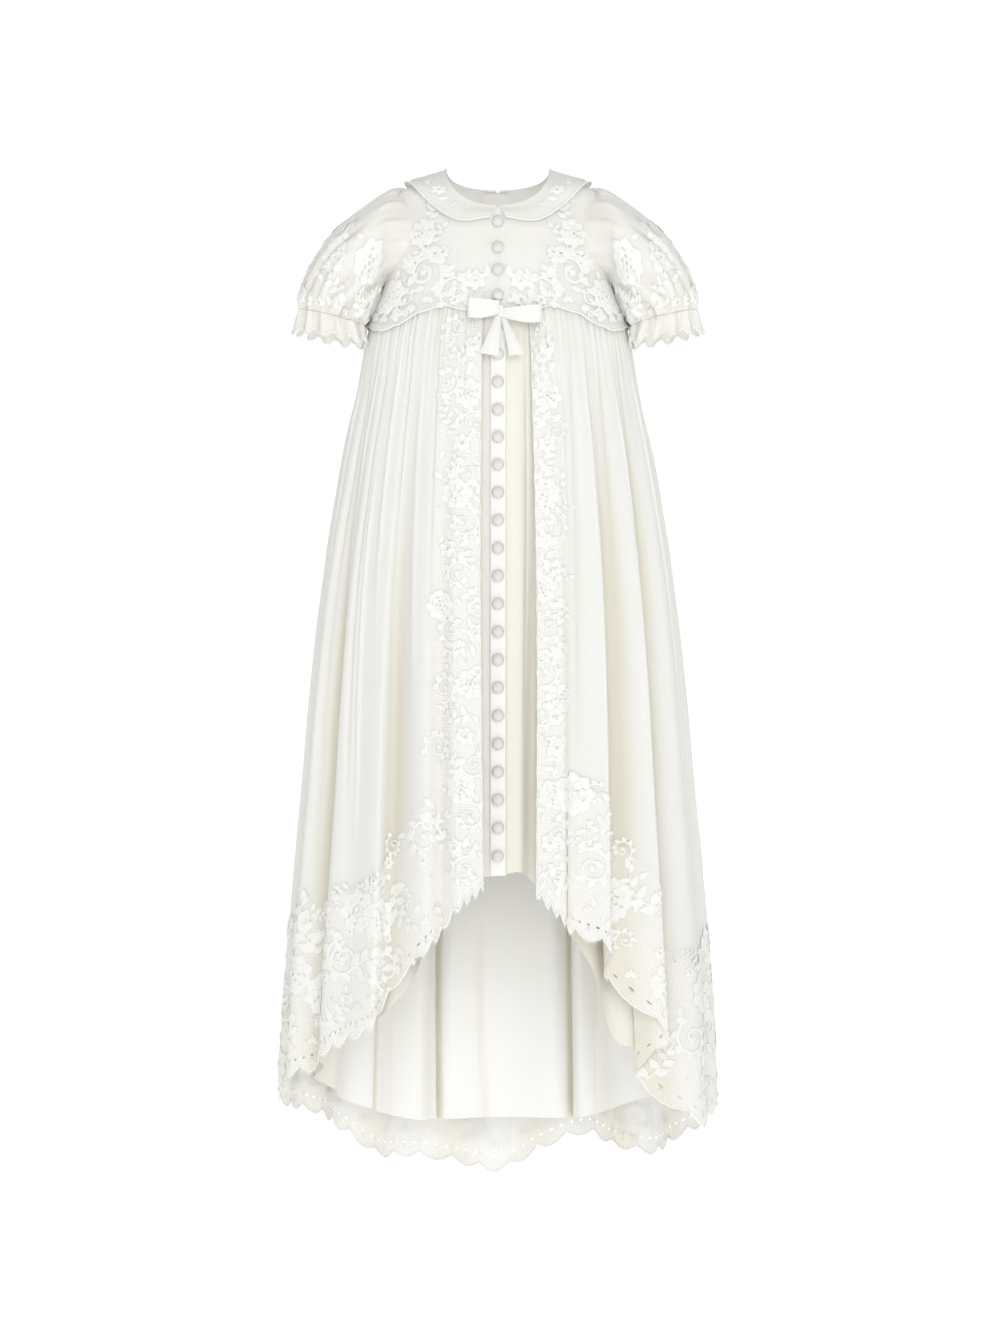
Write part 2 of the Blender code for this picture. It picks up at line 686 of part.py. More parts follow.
def pleat_numbers(start, end, per_pleat):
    """Columns of a skirt panel: on the ridges and valleys of its gathers, and beside its two seams."""
    numbers = np.arange(int(end * per_pleat) + 1) / per_pleat
    inner = numbers[(numbers > start + 0.05) & (numbers < end - 0.05)]
    return np.concatenate(((start + SEAM_MARGIN,), inner, (end - SEAM_MARGIN,)))


def skirt_faces(layer, number, drop, per_pleat):
    """Outer and inner points of a skirt wall."""
    outer = layer.point(number, drop)
    return outer, outer - surface_normals(layer.point, number, drop, 1.0 / per_pleat) * CLOTH_WALL


def build_overskirt(materials):
    panels = (
        ("overskirt_front_right", RIGHT_BORDER, RIGHT_SIDE),
        ("overskirt_back", RIGHT_SIDE, LEFT_SIDE),
        ("overskirt_front_left", LEFT_SIDE, LEFT_BORDER),
    )
    for name, start, end in panels:
        number = pleat_numbers(start, end, OVERSKIRT_COLUMNS)
        drop = OVERSKIRT_TOP + CHIFFON_ROWS[:, None] * (lace_top(number) - OVERSKIRT_TOP)
        wall(name, *skirt_faces(OVERSKIRT, number, drop, OVERSKIRT_COLUMNS), materials["chiffon"])


def hem_rows(number):
    """The last rows of the lace: over and under the eyelets, and the scalloped edge."""
    hem = OVERSKIRT.hem(number)
    edge = scallop(number)
    return np.stack((hem - EYELET_TOP, hem - EYELET_BOTTOM + edge * 0.2, hem + edge))


def build_front_lace(materials):
    """The lace borders run from waist to hem along both open edges."""
    for name, start, end in (
        ("front_lace_right", 0.0, RIGHT_BORDER),
        ("front_lace_left", LEFT_BORDER, OVERSKIRT.last),
    ):
        number = pleat_numbers(start, end, OVERSKIRT_COLUMNS)
        upper = OVERSKIRT_TOP + CHIFFON_ROWS[:, None] * (lace_top(number) - OVERSKIRT_TOP)
        drop = np.concatenate((upper, hem_rows(number)))
        wall(name, *skirt_faces(OVERSKIRT, number, drop, OVERSKIRT_COLUMNS), materials["lace"])


def along_edge(number, columns, points):
    """Read an edge along its own straight stretches, moved down so that the gap across its slope is even."""
    edge = np.stack([np.interp(number, columns, points[:, axis]) for axis in range(3)], axis=-1)
    step = np.gradient(edge, axis=0)
    slope = np.abs(step[:, 2]) / np.hypot(step[:, 0], step[:, 1])
    edge[:, 2] -= LACE_SEAM_GAP * np.sqrt(1.0 + np.minimum(slope, 6.0) ** 2)
    return edge[None]


def build_hem_lace(materials):
    """Lace bands with a scalloped edge and an eyelet cut through the middle of each scallop."""
    bands = (
        ("hem_lace_right", RIGHT_BORDER, RIGHT_SIDE),
        ("hem_lace_back", RIGHT_SIDE, LEFT_SIDE),
        ("hem_lace_left", LEFT_SIDE, LEFT_BORDER),
    )
    for name, start, end in bands:
        number = pleat_numbers(start, end, LACE_COLUMNS)
        columns = pleat_numbers(start, end, OVERSKIRT_COLUMNS)
        chiffon, chiffon_back = skirt_faces(OVERSKIRT, columns, lace_top(columns), OVERSKIRT_COLUMNS)
        outer, inner = skirt_faces(OVERSKIRT, number, hem_rows(number), LACE_COLUMNS)
        outer = np.concatenate((along_edge(number, columns, chiffon), outer))
        inner = np.concatenate((along_edge(number, columns, chiffon_back), inner))
        holes = [(1, column) for column in range(1, len(number) - 1, CELLS_PER_SCALLOP)]
        wall(name, outer, inner, materials["lace"], holes=holes)


def build_slip(materials):
    panels = (
        ("slip_front_right", 0.0, SLIP_RIGHT_SIDE),
        ("slip_back_right", SLIP_RIGHT_SIDE, SLIP_BACK),
        ("slip_back_left", SLIP_BACK, SLIP_LEFT_SIDE),
        ("slip_front_left", SLIP_LEFT_SIDE, SLIP.last),
    )
    for name, start, end in panels:
        number = pleat_numbers(start, end, SLIP_COLUMNS)
        drop = SLIP_TOP + SLIP_ROWS[:, None] * (SLIP.hem(number) - SLIP_TOP)
        wall(name, *skirt_faces(SLIP, number, drop, SLIP_COLUMNS), materials["satin"])


def band_front(drop):
    """Y of the button band's face, one wall in front of the slip's outer section."""
    half_depth = curve(drop, SKIRT["drop"], SKIRT["half_depth"])
    return -(half_depth - slip_inset(0.0, drop)) - CLOTH_WALL - SEAM_GAP


def build_band(materials):
    drop = np.linspace(BAND_TOP, BAND_BOTTOM, 12)[:, None]
    x = np.array((-BAND_HALF_WIDTH, 0.0, BAND_HALF_WIDTH))
    points = np.stack(np.broadcast_arrays(x, band_front(drop), -drop), axis=-1)
    ribbon("button_band", points, materials["satin"])


def yoke_face(drop):
    """Y of the yoke at the centre front."""
    return -curve(drop, YOKE["drop"], YOKE["half_depth"])


def build_buttons(materials):
    """Domed covered buttons, each tilted to the cloth behind it and just clear of it."""
    drops = list(YOKE_BUTTON_DROPS) + list(np.linspace(BAND_FIRST_BUTTON, BAND_LAST_BUTTON, BAND_BUTTONS))
    for index, drop in enumerate(drops):
        face = yoke_face if index < len(YOKE_BUTTON_DROPS) else band_front
        slope = float(face(drop - BUTTON_RADIUS) - face(drop + BUTTON_RADIUS)) / (2.0 * BUTTON_RADIUS)
        outward = Vector((0.0, -1.0, slope)).normalized()
        bpy.ops.mesh.primitive_uv_sphere_add(segments=8, ring_count=4, radius=MM)
        button = bpy.context.active_object
        button.name = "button_{:02d}".format(index + 1)
        button.scale = (BUTTON_RADIUS, BUTTON_RADIUS, BUTTON_HALF_DEPTH)
        button.rotation_euler = outward.to_track_quat("Z", "Y").to_euler()
        centre = Vector((0.0, float(face(drop)), -float(drop))) + outward * (BUTTON_HALF_DEPTH + SEAM_GAP)
        button.location = centre * MM
        button.data.materials.append(materials["satin"])
        button.data.shade_smooth()
        move_to_gown(button)


def move_to_gown(piece):
    for collection in list(piece.users_collection):
        collection.objects.unlink(piece)
    bpy.context.scene.collection.children[GOWN].objects.link(piece)


def loop_grid(start_x, end_x, near_height, far_height, back_y, drop):
    """A flat ribbon loop: out along the front, round the end and back, taller at its end than at the knot."""
    radius = RIBBON_LOOP_GAP / 2.0
    straight = np.array((start_x, (start_x + end_x) / 2.0, end_x - radius))
    bend = np.radians(np.array((30.0, 90.0, 150.0)))
    x = np.concatenate((straight, end_x - radius + radius * np.sin(bend), straight[::-1]))
    y = np.concatenate((np.full(3, -radius), -radius * np.cos(bend), np.full(3, radius)))
    height = near_height + (far_height - near_height) * np.clip((x - start_x) / (end_x - start_x) * 1.6, 0.0, 1.0)
    rows = np.array((-0.5, 0.0, 0.5))[:, None]
    return np.stack(np.broadcast_arrays(x, y + back_y - radius, -(drop + rows * height)), axis=-1)


def tail_grid(top_left, top_right, bottom_left, bottom_right, top_y, bottom_y):
    """A ribbon tail: four corners (x, drop), bowed a little to the front on its way down."""
    down = np.linspace(0.0, 1.0, 5)[:, None]
    across = np.array((0.0, 0.5, 1.0))
    left = np.array(top_left) + (np.array(bottom_left) - np.array(top_left)) * down
    right = np.array(top_right) + (np.array(bottom_right) - np.array(top_right)) * down
    x = left[:, :1] + (right[:, :1] - left[:, :1]) * across
    drop = left[:, 1:] + (right[:, 1:] - left[:, 1:]) * across
    y = top_y + (bottom_y - top_y) * down - 1.2 * np.sin(np.pi * down) - 0.8 * np.sin(np.pi * across)
    return np.stack(np.broadcast_arrays(x, y, -drop), axis=-1)


def build_bow(materials):
    """Satin ribbon bow in front of the yoke's lower edge, its right loop a little lower and longer."""
    satin = materials["satin"]
    back_y = float(yoke_face(BOW_DROP)) - LAYER_GAP
    knot_half = KNOT_SIZE[0] / 2.0
    near = LOOP_KNOT_HEIGHT
    left_start = knot_half - KNOT_CENTRE_X + SEAM_GAP
    right_start = knot_half + KNOT_CENTRE_X + SEAM_GAP
    left = loop_grid(left_start, LEFT_LOOP_END, near, LEFT_LOOP_HEIGHT, back_y, BOW_DROP - 2.0)
    right = loop_grid(right_start, RIGHT_LOOP_END, near, RIGHT_LOOP_HEIGHT, back_y, BOW_DROP + 3.0)
    ribbon("bow_loop_left", left, satin, left=True)
    ribbon("bow_loop_right", right, satin)
    bpy.ops.mesh.primitive_cube_add(size=1.0)
    knot = bpy.context.active_object
    knot.name = "bow_knot"
    middle = (KNOT_CENTRE_X, back_y - KNOT_SIZE[1] / 2.0, -BOW_DROP - 1.0)
    points = np.array([vertex.co[:] for vertex in knot.data.vertices]) * np.array(KNOT_SIZE) + np.array(middle)
    knot.data.vertices.foreach_set("co", (points * MM).ravel())
    knot.data.update()
    knot.data.materials.append(satin)
    bevel = knot.modifiers.new("soft edges", "BEVEL")
    bevel.width = KNOT_BEVEL * MM
    bevel.segments = 2
    move_to_gown(knot)
    tail_top = back_y - 2.0
    tail_bottom = -float(curve(TAIL_END_DROP, SKIRT["drop"], SKIRT["half_depth"])) - TAIL_CLEARANCE
    top = BOW_DROP + 1.0 + KNOT_SIZE[2] / 2.0 + SEAM_GAP
    left_tail = tail_grid((-7.0, top), (2.4, top), (-16.0, 168.0), (0.5, 171.0), tail_top, tail_bottom)
    right_tail = tail_grid((3.0, top), (5.4, top), (10.0, 171.0), (23.4, 169.0), tail_top, tail_bottom)
    ribbon("bow_tail_left", left_tail, satin)
    ribbon("bow_tail_right", right_tail, satin)


def make_materials():
    materials = {}
    for name, (colour, roughness) in FINISHES.items():
        material = bpy.data.materials.new(name)
        material.use_nodes = True
        shader = material.node_tree.nodes["Principled BSDF"]
        shader.inputs["Base Color"].default_value = (*colour, 1.0)
        shader.inputs["Roughness"].default_value = roughness
        shader.inputs["Metallic"].default_value = 0.0
        materials[name] = material
    return materials


def main():
    for piece in list(bpy.data.objects):
        bpy.data.objects.remove(piece, do_unlink=True)
    bpy.context.scene.collection.children.link(bpy.data.collections.new(GOWN))
    materials = make_materials()
    build_yoke(materials)
    build_placket(materials)
    build_collar(materials)
    build_sleeves(materials)
    build_overskirt(materials)
    build_front_lace(materials)
    build_hem_lace(materials)
    build_slip(materials)
    build_band(materials)
    build_buttons(materials)
    build_bow(materials)


main()
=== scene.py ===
"""Dressed model of a baby's ceremonial gown: lace yoke, puff sleeves, open chiffon overskirt and satin slip.

Sizes are millimetres until a mesh is made. "drop" is the distance below the neck points, "number" counts
pleats round a skirt from its right front edge, and angles run from the centre front through the right side.
"""
import math
import bpy
import numpy as np
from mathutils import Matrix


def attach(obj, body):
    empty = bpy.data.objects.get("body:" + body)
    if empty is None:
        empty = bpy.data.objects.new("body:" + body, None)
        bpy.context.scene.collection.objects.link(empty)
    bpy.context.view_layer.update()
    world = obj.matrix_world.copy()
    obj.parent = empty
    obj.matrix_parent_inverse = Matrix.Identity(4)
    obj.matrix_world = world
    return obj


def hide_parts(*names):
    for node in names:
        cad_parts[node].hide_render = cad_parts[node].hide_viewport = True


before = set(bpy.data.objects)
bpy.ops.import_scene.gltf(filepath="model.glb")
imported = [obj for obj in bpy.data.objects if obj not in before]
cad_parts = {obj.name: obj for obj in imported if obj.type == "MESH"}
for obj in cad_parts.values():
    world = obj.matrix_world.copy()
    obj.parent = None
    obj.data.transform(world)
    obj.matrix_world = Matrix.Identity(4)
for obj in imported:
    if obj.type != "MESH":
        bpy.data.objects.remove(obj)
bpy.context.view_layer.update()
bl_info = {
    "name": "Ceremonial Gown",
    "version": (1, 0, 0),
    "blender": (4, 5, 0),
    "location": "3D View > Sidebar > Gown",
    "description": "Makes a baby's lace and chiffon gown piece by piece",
    "category": "Add Mesh",
}
MM = 0.001
FULL_TURN = 2.0 * math.pi
BODY = "root"


def table(columns, rows):
    """Turn short rows of numbers into one array for each named column."""
    return {name: np.array([row[i] for row in rows], dtype=float) for i, name in enumerate(columns)}


# ---------------------------------------------------------------- sizes that the solids share

NECK_HALF_WIDTH = 47.0
NECK_FRONT_DROP = 38.0
NECK_BACK_DROP = 15.0
NECK_POINT_DROP = 3.0
SHOULDER_TIP_DROP = 17.0
UNDERARM_DROP = 105.0
ARMHOLE_DEGREES = 36.0
ARMHOLE_POWER = 0.8
ARMHOLE_MIDDLE = (UNDERARM_DROP + SHOULDER_TIP_DROP) / 2.0
ARMHOLE_HALF = (UNDERARM_DROP - SHOULDER_TIP_DROP) / 2.0
OVERSKIRT_TOP = 122.0
SLIP_TOP = 124.0
PLEAT_FULL_DROP = 680.0
GATHER_END_DROP = 250.0
BAND_HALF_WIDTH = 6.8
BAND_STAND = 1.35
BAND_TOP = 150.0
BAND_BOTTOM = 629.0
BUTTON_RADIUS = 5.5
YOKE_BUTTON_DROPS = (53.0, 77.0, 97.0, 120.0)
BAND_BUTTONS = 19
BAND_FIRST_BUTTON = 172.0
BAND_LAST_BUTTON = 612.0
BOW_DROP = 133.0
KNOT_CENTRE_X = 2.7
KNOT_SIZE = (5.4, 5.6, 11.0)
RIGHT_BORDER = 1.25
RIGHT_SIDE = 5.25
LEFT_SIDE = 13.25
LEFT_BORDER = 17.25
SLIP_RIGHT_SIDE = 5.25
SLIP_BACK = 9.5
SLIP_LEFT_SIDE = 13.75
HEM_BAND_FRONT = 118.0
HEM_BAND_BACK = 150.0
LACE_DEEP_FROM = 1.3
SCALLOP_DEPTH = 7.0
SMALL_LOBE_DEPTH = 0.8
SMALL_LOBES = 5.0
SCALLOPS_PER_PLEAT = 3
SCALLOP_SHIFT = 1.0 / 24.0 - 0.25
COLLAR_ROLL = 1.6
COLLAR_ROLL_SHARE = 0.14
EYELETS_PER_SCALLOP = 3
EYELET_RISE = 6.5
LASH_WIDTH = 0.5
NET_THREAD = (0.12, 0.24)
CLOUD_DARKNESS = 0.97
YOKE_LOBE_DEPTH = 1.3
YOKE_LOBES = 14.0
PLACKET_BOTTOM = 110.0
PLACKET_SIDES = (11.0, -14.0)
PLACKET_INSET = 3.4
RUFFLE_WAVES = 14
# Outlines of yoke and skirt: half the width and half the depth of their oval section at each drop
SECTION = ("drop", "half_width", "half_depth")
YOKE = table(
    SECTION,
    (
        (3.0, 47.0, 15.0),
        (10.0, 66.0, 26.0),
        (17.0, 84.0, 33.0),
        (38.0, 90.0, 42.0),
        (62.0, 95.0, 52.0),
        (85.0, 99.0, 60.0),
        (105.0, 103.0, 65.0),
        (122.0, 110.0, 68.0),
        (135.0, 115.5, 70.0),
        (152.0, 121.0, 72.5),
    ),
)
# The yoke's lower edge, round from the centre front to the centre back
YOKE_EDGE = table(
    ("angle", "drop"),
    (
        (0.0, 131.0),
        (12.0, 133.0),
        (24.0, 128.0),
        (38.0, 134.0),
        (50.0, 144.0),
        (62.0, 147.0),
        (76.0, 143.0),
        (90.0, 141.0),
        (104.0, 144.0),
        (120.0, 146.0),
        (136.0, 137.0),
        (152.0, 143.0),
        (168.0, 136.0),
        (180.0, 139.0),
    ),
)
# The button band's section: place across as a share of its half width, and how far back it lies
BAND_SECTION = table(
    ("across", "back"),
    (
        (-1.0, 1.2),
        (-1.0, 0.6),
        (-0.94, 0.12),
        (-0.86, 0.0),
        (-0.5, 0.0),
        (0.0, 0.0),
        (0.5, 0.0),
        (0.86, 0.0),
        (0.94, 0.12),
        (1.0, 0.6),
        (1.0, 1.2),
    ),
)
# The collar's outer edge, at each angle round the neck
COLLAR = table(
    ("angle", "outer_x", "outer_drop"),
    (
        (0.0, 4.0, 48.5),
        (16.0, 27.0, 51.0),
        (36.0, 46.0, 45.0),
        (56.0, 61.0, 32.0),
        (76.0, 75.0, 18.0),
        (90.0, 80.0, 15.5),
        (108.0, 75.0, 20.0),
        (135.0, 58.0, 34.0),
        (160.0, 30.0, 42.0),
        (178.0, 3.0, 43.0),
    ),
)
SKIRT = table(
    SECTION,
    (
        (118.0, 106.2, 65.2),
        (122.0, 107.8, 65.8),
        (135.0, 113.2, 67.8),
        (152.0, 118.6, 70.2),
        (161.0, 120.5, 71.8),
        (198.0, 127.0, 77.0),
        (252.0, 138.0, 84.0),
        (306.0, 148.0, 91.0),
        (360.0, 157.0, 97.0),
        (468.0, 170.0, 107.0),
        (549.0, 177.0, 114.0),
        (630.0, 184.5, 120.0),
        (711.0, 191.0, 125.0),
        (792.0, 196.0, 129.0),
        (930.0, 200.0, 133.0),
    ),
)
# Pleats, a row for each ridge or valley: its angle at waist and hem, the hem's drop, and how far it lies
# inside the outer section
PLEAT_COLUMNS = ("waist_angle", "hem_angle", "hem_drop", "inward")
OVERSKIRT_PLEATS = table(
    PLEAT_COLUMNS,
    (
        (14.0, 10.0, 638.0, 0.0),
        (18.0, 14.0, 650.0, 1.0),
        (22.0, 17.5, 661.0, 0.0),
        (27.0, 21.0, 673.0, 7.0),
        (38.0, 31.0, 687.0, 0.0),
        (44.0, 32.5, 716.0, 20.0),
        (54.0, 50.0, 766.0, 0.0),
        (60.0, 43.5, 803.0, 26.0),
        (72.0, 66.0, 846.0, 1.0),
        (80.0, 78.0, 844.0, 7.0),
        (88.0, 90.0, 834.0, 0.0),
        (98.0, 101.0, 846.0, 8.0),
        (108.0, 112.0, 860.0, 0.0),
        (118.0, 123.0, 876.0, 13.0),
        (128.0, 134.0, 890.0, 0.0),
        (137.0, 145.0, 884.0, 14.0),
        (147.0, 156.0, 876.0, 0.0),
        (162.0, 168.0, 890.0, 12.0),
        (180.0, 180.0, 912.0, 0.0),
        (196.0, 192.0, 902.0, 12.0),
        (210.0, 205.0, 897.0, 0.0),
        (221.0, 216.0, 892.0, 13.0),
        (231.0, 227.0, 868.0, 0.0),
        (241.0, 238.0, 852.0, 12.0),
        (252.0, 248.0, 843.0, 0.0),
        (261.0, 259.0, 839.0, 8.0),
        (271.0, 270.0, 830.0, 0.0),
        (280.0, 279.0, 813.0, 7.0),
        (288.0, 288.0, 805.0, 0.0),
        (297.0, 298.0, 795.0, 17.0),
        (304.0, 308.0, 781.0, 0.0),
        (311.0, 316.0, 768.0, 4.0),
        (319.0, 325.0, 756.0, 0.0),
        (325.0, 327.5, 732.0, 15.0),
        (334.0, 340.0, 690.0, 0.0),
        (339.0, 344.0, 674.0, 9.0),
        (344.0, 349.5, 651.0, 0.0),
        (348.5, 353.0, 641.0, 1.0),
        (353.0, 356.4, 633.0, 0.0),
    ),
)
SLIP_PLEATS = table(
    PLEAT_COLUMNS,
    (
        (1.6, 1.0, 629.0, 1.0),
        (8.5, 5.8, 626.0, 0.0),
        (14.0, 9.5, 634.0, 9.0),
        (21.0, 15.0, 655.0, 0.0),
        (28.0, 21.0, 676.0, 8.0),
        (37.0, 29.0, 712.0, 0.0),
        (46.0, 37.0, 772.0, 8.0),
        (55.0, 47.0, 784.0, 0.0),
        (65.0, 58.0, 790.0, 9.0),
        (75.0, 70.0, 795.0, 0.0),
        (86.0, 84.0, 800.0, 10.0),
        (97.0, 98.0, 811.0, 0.0),
        (108.0, 111.0, 824.0, 13.0),
        (119.0, 124.0, 838.0, 0.0),
        (131.0, 136.0, 848.0, 14.0),
        (142.0, 147.0, 858.0, 0.0),
        (150.0, 153.0, 862.0, 12.0),
        (157.0, 158.0, 864.0, 0.0),
        (163.0, 163.5, 864.0, 12.0),
        (180.0, 179.0, 864.0, 8.0),
        (192.0, 194.0, 865.0, 12.0),
        (199.0, 199.5, 866.0, 0.0),
        (207.0, 206.0, 865.0, 13.0),
        (217.0, 215.0, 860.0, 0.0),
        (228.0, 225.0, 852.0, 13.0),
        (239.0, 236.0, 842.0, 0.0),
        (250.0, 248.0, 831.0, 12.0),
        (261.0, 260.0, 819.0, 0.0),
        (272.0, 272.0, 807.0, 10.0),
        (283.0, 284.0, 795.0, 0.0),
        (294.0, 295.0, 783.0, 9.0),
        (305.0, 306.0, 774.0, 0.0),
        (315.0, 317.0, 762.0, 9.0),
        (324.0, 326.0, 748.0, 0.0),
        (332.0, 333.0, 722.0, 9.0),
        (339.0, 340.0, 684.0, 0.0),
        (344.0, 346.0, 660.0, 8.0),
        (349.0, 351.0, 642.0, 2.0),
        (353.3, 355.6, 631.0, 0.0),
        (358.4, 359.0, 630.0, 1.0),
    ),
)
# The sleeve's rings from armhole to cuff: outer rail, inner rail, and how far each reaches front and back
SLEEVE = table(
    ("along", "outer_x", "outer_drop", "inner_x", "inner_drop", "front", "back"),
    (
        (0.0, 84.0, 15.0, 103.0, 106.0, 33.0, 33.0),
        (0.12, 101.0, 21.0, 104.0, 112.0, 46.0, 43.0),
        (0.28, 127.0, 38.0, 105.0, 120.0, 54.0, 49.0),
        (0.46, 151.0, 60.0, 107.0, 127.0, 57.0, 51.0),
        (0.64, 168.0, 86.0, 110.0, 133.0, 55.0, 49.0),
        (0.82, 177.5, 110.0, 114.0, 138.0, 47.0, 42.0),
        (1.0, 179.0, 126.0, 118.0, 141.0, 37.0, 33.0),
    ),
)
RUFFLE_OUTER = (183.0, 144.0)
RUFFLE_INNER = (112.0, 157.0)
RUFFLE_FRONT = 42.0
RUFFLE_BACK = 38.0

# Small creases of the overskirt between its pleats: place, width in pleats, depth (a trough is negative),
# and the drops between which each shows
CREASES = table(
    ("number", "width", "depth", "top", "bottom"),
    (
        (1.45, 0.05, 1.2, 150.0, 420.0),
        (1.72, 0.06, -1.6, 140.0, 560.0),
        (2.10, 0.05, 1.3, 170.0, 640.0),
        (2.30, 0.04, -1.4, 135.0, 400.0),
        (2.78, 0.06, -1.5, 150.0, 520.0),
        (3.22, 0.06, 1.6, 160.0, 680.0),
        (3.75, 0.05, -1.4, 140.0, 460.0),
        (4.18, 0.07, 1.8, 150.0, 700.0),
        (4.42, 0.05, -1.6, 180.0, 780.0),
        (4.82, 0.06, -1.5, 140.0, 560.0),
        (5.10, 0.05, 1.4, 200.0, 760.0),
        (5.60, 0.06, -1.8, 150.0, 620.0),
        (6.20, 0.07, 1.8, 170.0, 800.0),
        (6.78, 0.06, -1.6, 140.0, 520.0),
        (7.35, 0.07, 2.0, 160.0, 740.0),
        (7.80, 0.05, -1.6, 150.0, 600.0),
        (8.28, 0.06, -1.8, 150.0, 820.0),
        (8.80, 0.06, 1.8, 160.0, 640.0),
        (9.24, 0.06, -1.6, 150.0, 560.0),
        (9.74, 0.07, 1.8, 180.0, 800.0),
        (10.25, 0.06, -1.7, 150.0, 620.0),
        (10.80, 0.06, 1.8, 160.0, 780.0),
        (11.24, 0.05, -1.6, 140.0, 480.0),
        (11.76, 0.07, 1.8, 170.0, 760.0),
        (12.20, 0.06, -1.5, 150.0, 540.0),
        (12.74, 0.06, 1.6, 180.0, 700.0),
        (13.12, 0.05, -1.6, 150.0, 500.0),
        (13.60, 0.07, 1.7, 160.0, 720.0),
        (13.85, 0.05, -1.5, 140.0, 560.0),
        (14.28, 0.06, -1.6, 180.0, 700.0),
        (14.72, 0.05, 1.6, 150.0, 500.0),
        (15.22, 0.06, -1.7, 150.0, 620.0),
        (15.45, 0.05, 1.4, 260.0, 640.0),
        (15.80, 0.06, 1.6, 140.0, 440.0),
        (16.25, 0.06, -1.6, 150.0, 600.0),
        (16.72, 0.05, 1.4, 170.0, 520.0),
        (17.05, 0.05, -1.3, 150.0, 480.0),
    ),
)

# Creases of the slip in the same columns: its front first, then the box pleats seen inside its back
SLIP_CREASES = table(
    ("number", "width", "depth", "top", "bottom"),
    (
        (0.75, 0.05, -1.0, 160.0, 560.0),
        (1.20, 0.06, 1.4, 150.0, 640.0),
        (1.75, 0.06, -1.6, 170.0, 700.0),
        (17.80, 0.06, -1.4, 160.0, 640.0),
        (18.30, 0.05, 1.2, 150.0, 620.0),
        (18.72, 0.05, -1.0, 170.0, 600.0),
        (6.70, 0.06, -1.0, 620.0, 980.0),
        (7.60, 0.06, 1.0, 640.0, 1000.0),
        (8.40, 0.08, 6.0, 520.0, 1080.0),
        (9.62, 0.05, 1.0, 660.0, 1000.0),
        (10.36, 0.08, 6.4, 520.0, 1080.0),
        (11.60, 0.06, -1.0, 620.0, 1000.0),
        (11.95, 0.07, 3.0, 560.0, 1060.0),
    ),
)
CREASE_STRENGTH = 1.5
CREASE_WIDTH_SHARE = 0.8
CREASE_TOP_EASE = 70.0
CREASE_BOTTOM_EASE = 160.0
CREASE_LEAN = 0.10
CREASE_LEAN_LENGTH = 150.0

# Gathers: how their place, depth and length wander, each wave as (size, rate, shift) along the pleat number
GATHER_PLACE_WAVES = ((0.06, 5.1, 0.0), (0.045, 11.7, 1.0))
GATHER_MEAN_DEPTH = 0.72
GATHER_DEPTH_WAVES = ((0.28, 8.3, 0.5),)
GATHER_LENGTH_WAVES = ((60.0, 6.7, 0.0),)
FINE_GATHER_SHARE = 0.315
FINE_GATHER_PLACE_WAVES = ((2.0, 3.1, 0.0),)
FINE_GATHER_LENGTH = 95.0
FINE_GATHER_LENGTH_WAVES = ((45.0, 5.3, 0.0),)

# How strongly painted shade darkens each kind of fold, and the inward depth of a pleat that gets the full
# painted shade
FULL_SHADE_DEPTH = 14.0
GATHER_SHADE = 0.4
CREASE_SHADE = 0.14
SLEEVE_CREASE_SHADE = 0.16
SLEEVE_GATHER_SHADE = 0.2

# How fast the pleats open below the waist, and half a wall from each layer's outer section to its middle
PLEAT_OPENING = 1.25
YOKE_HALF_WALL = 0.6
SKIRT_HALF_WALL = 0.5

# Gap between the slip and the overskirt's outer section: at the waist, just below it, and under the pleats
SLIP_WAIST_GAP = 3.4
SLIP_SECOND_GAP = 2.6
SLIP_SECOND_EASE = 60.0
SLIP_FRONT_GAP = 9.0
SLIP_SIDE_GAP = 14.0
SLIP_SIDE_START = 8.0
SLIP_SIDE_EASE = 20.0

# Creases of the sleeve: turn at its top, how it slants, width in turn, height (a trough is negative), and
# the part of the sleeve's length between which each shows
SLEEVE_RADIUS = 45.0
SLEEVE_CREASE_RISE = 0.25
SLEEVE_CREASE_FALL = 0.12
SLEEVE_CREASES = table(
    ("turn", "slant", "width", "depth", "start", "end"),
    (
        (3.72, 0.70, 0.10, -5.5, 0.10, 1.05),
        (4.02, 0.70, 0.12, 3.2, 0.15, 1.05),
        (4.48, 0.40, 0.09, -2.6, 0.35, 1.05),
        (4.80, 0.35, 0.10, 2.4, 0.30, 1.05),
        (5.12, 0.50, 0.09, -4.4, 0.18, 1.05),
        (5.42, 0.42, 0.10, 2.6, 0.35, 1.05),
        (5.78, 0.30, 0.10, -3.4, 0.35, 1.05),
        (6.20, 0.10, 0.10, -2.8, 0.45, 1.05),
        (0.38, -0.1, 0.10, 2.4, 0.40, 1.05),
        (0.72, -0.2, 0.10, -4.0, 0.20, 1.05),
        (1.10, -0.3, 0.12, 3.0, 0.30, 1.05),
        (1.48, -0.3, 0.10, -4.4, 0.15, 1.05),
        (1.90, -0.4, 0.12, 2.6, 0.30, 1.05),
        (2.30, -0.4, 0.10, -3.6, 0.25, 1.05),
    ),
)


# ---------------------------------------------------------------- surfaces

def curve(at, knots, values):
    """Smooth curve through the knots: a cubic between two knots, with slopes taken from their neighbours."""
    slopes = np.gradient(values, knots)
    k = np.clip(np.searchsorted(knots, at, side="right") - 1, 0, len(knots) - 2)
    width = knots[k + 1] - knots[k]
    f = np.clip((at - knots[k]) / width, 0.0, 1.0)
    rising = f * f * (3.0 - 2.0 * f)
    bend = f * (1.0 - f) * width
    return values[k] + (values[k + 1] - values[k]) * rising + bend * ((1.0 - f) * slopes[k] - f * slopes[k + 1])


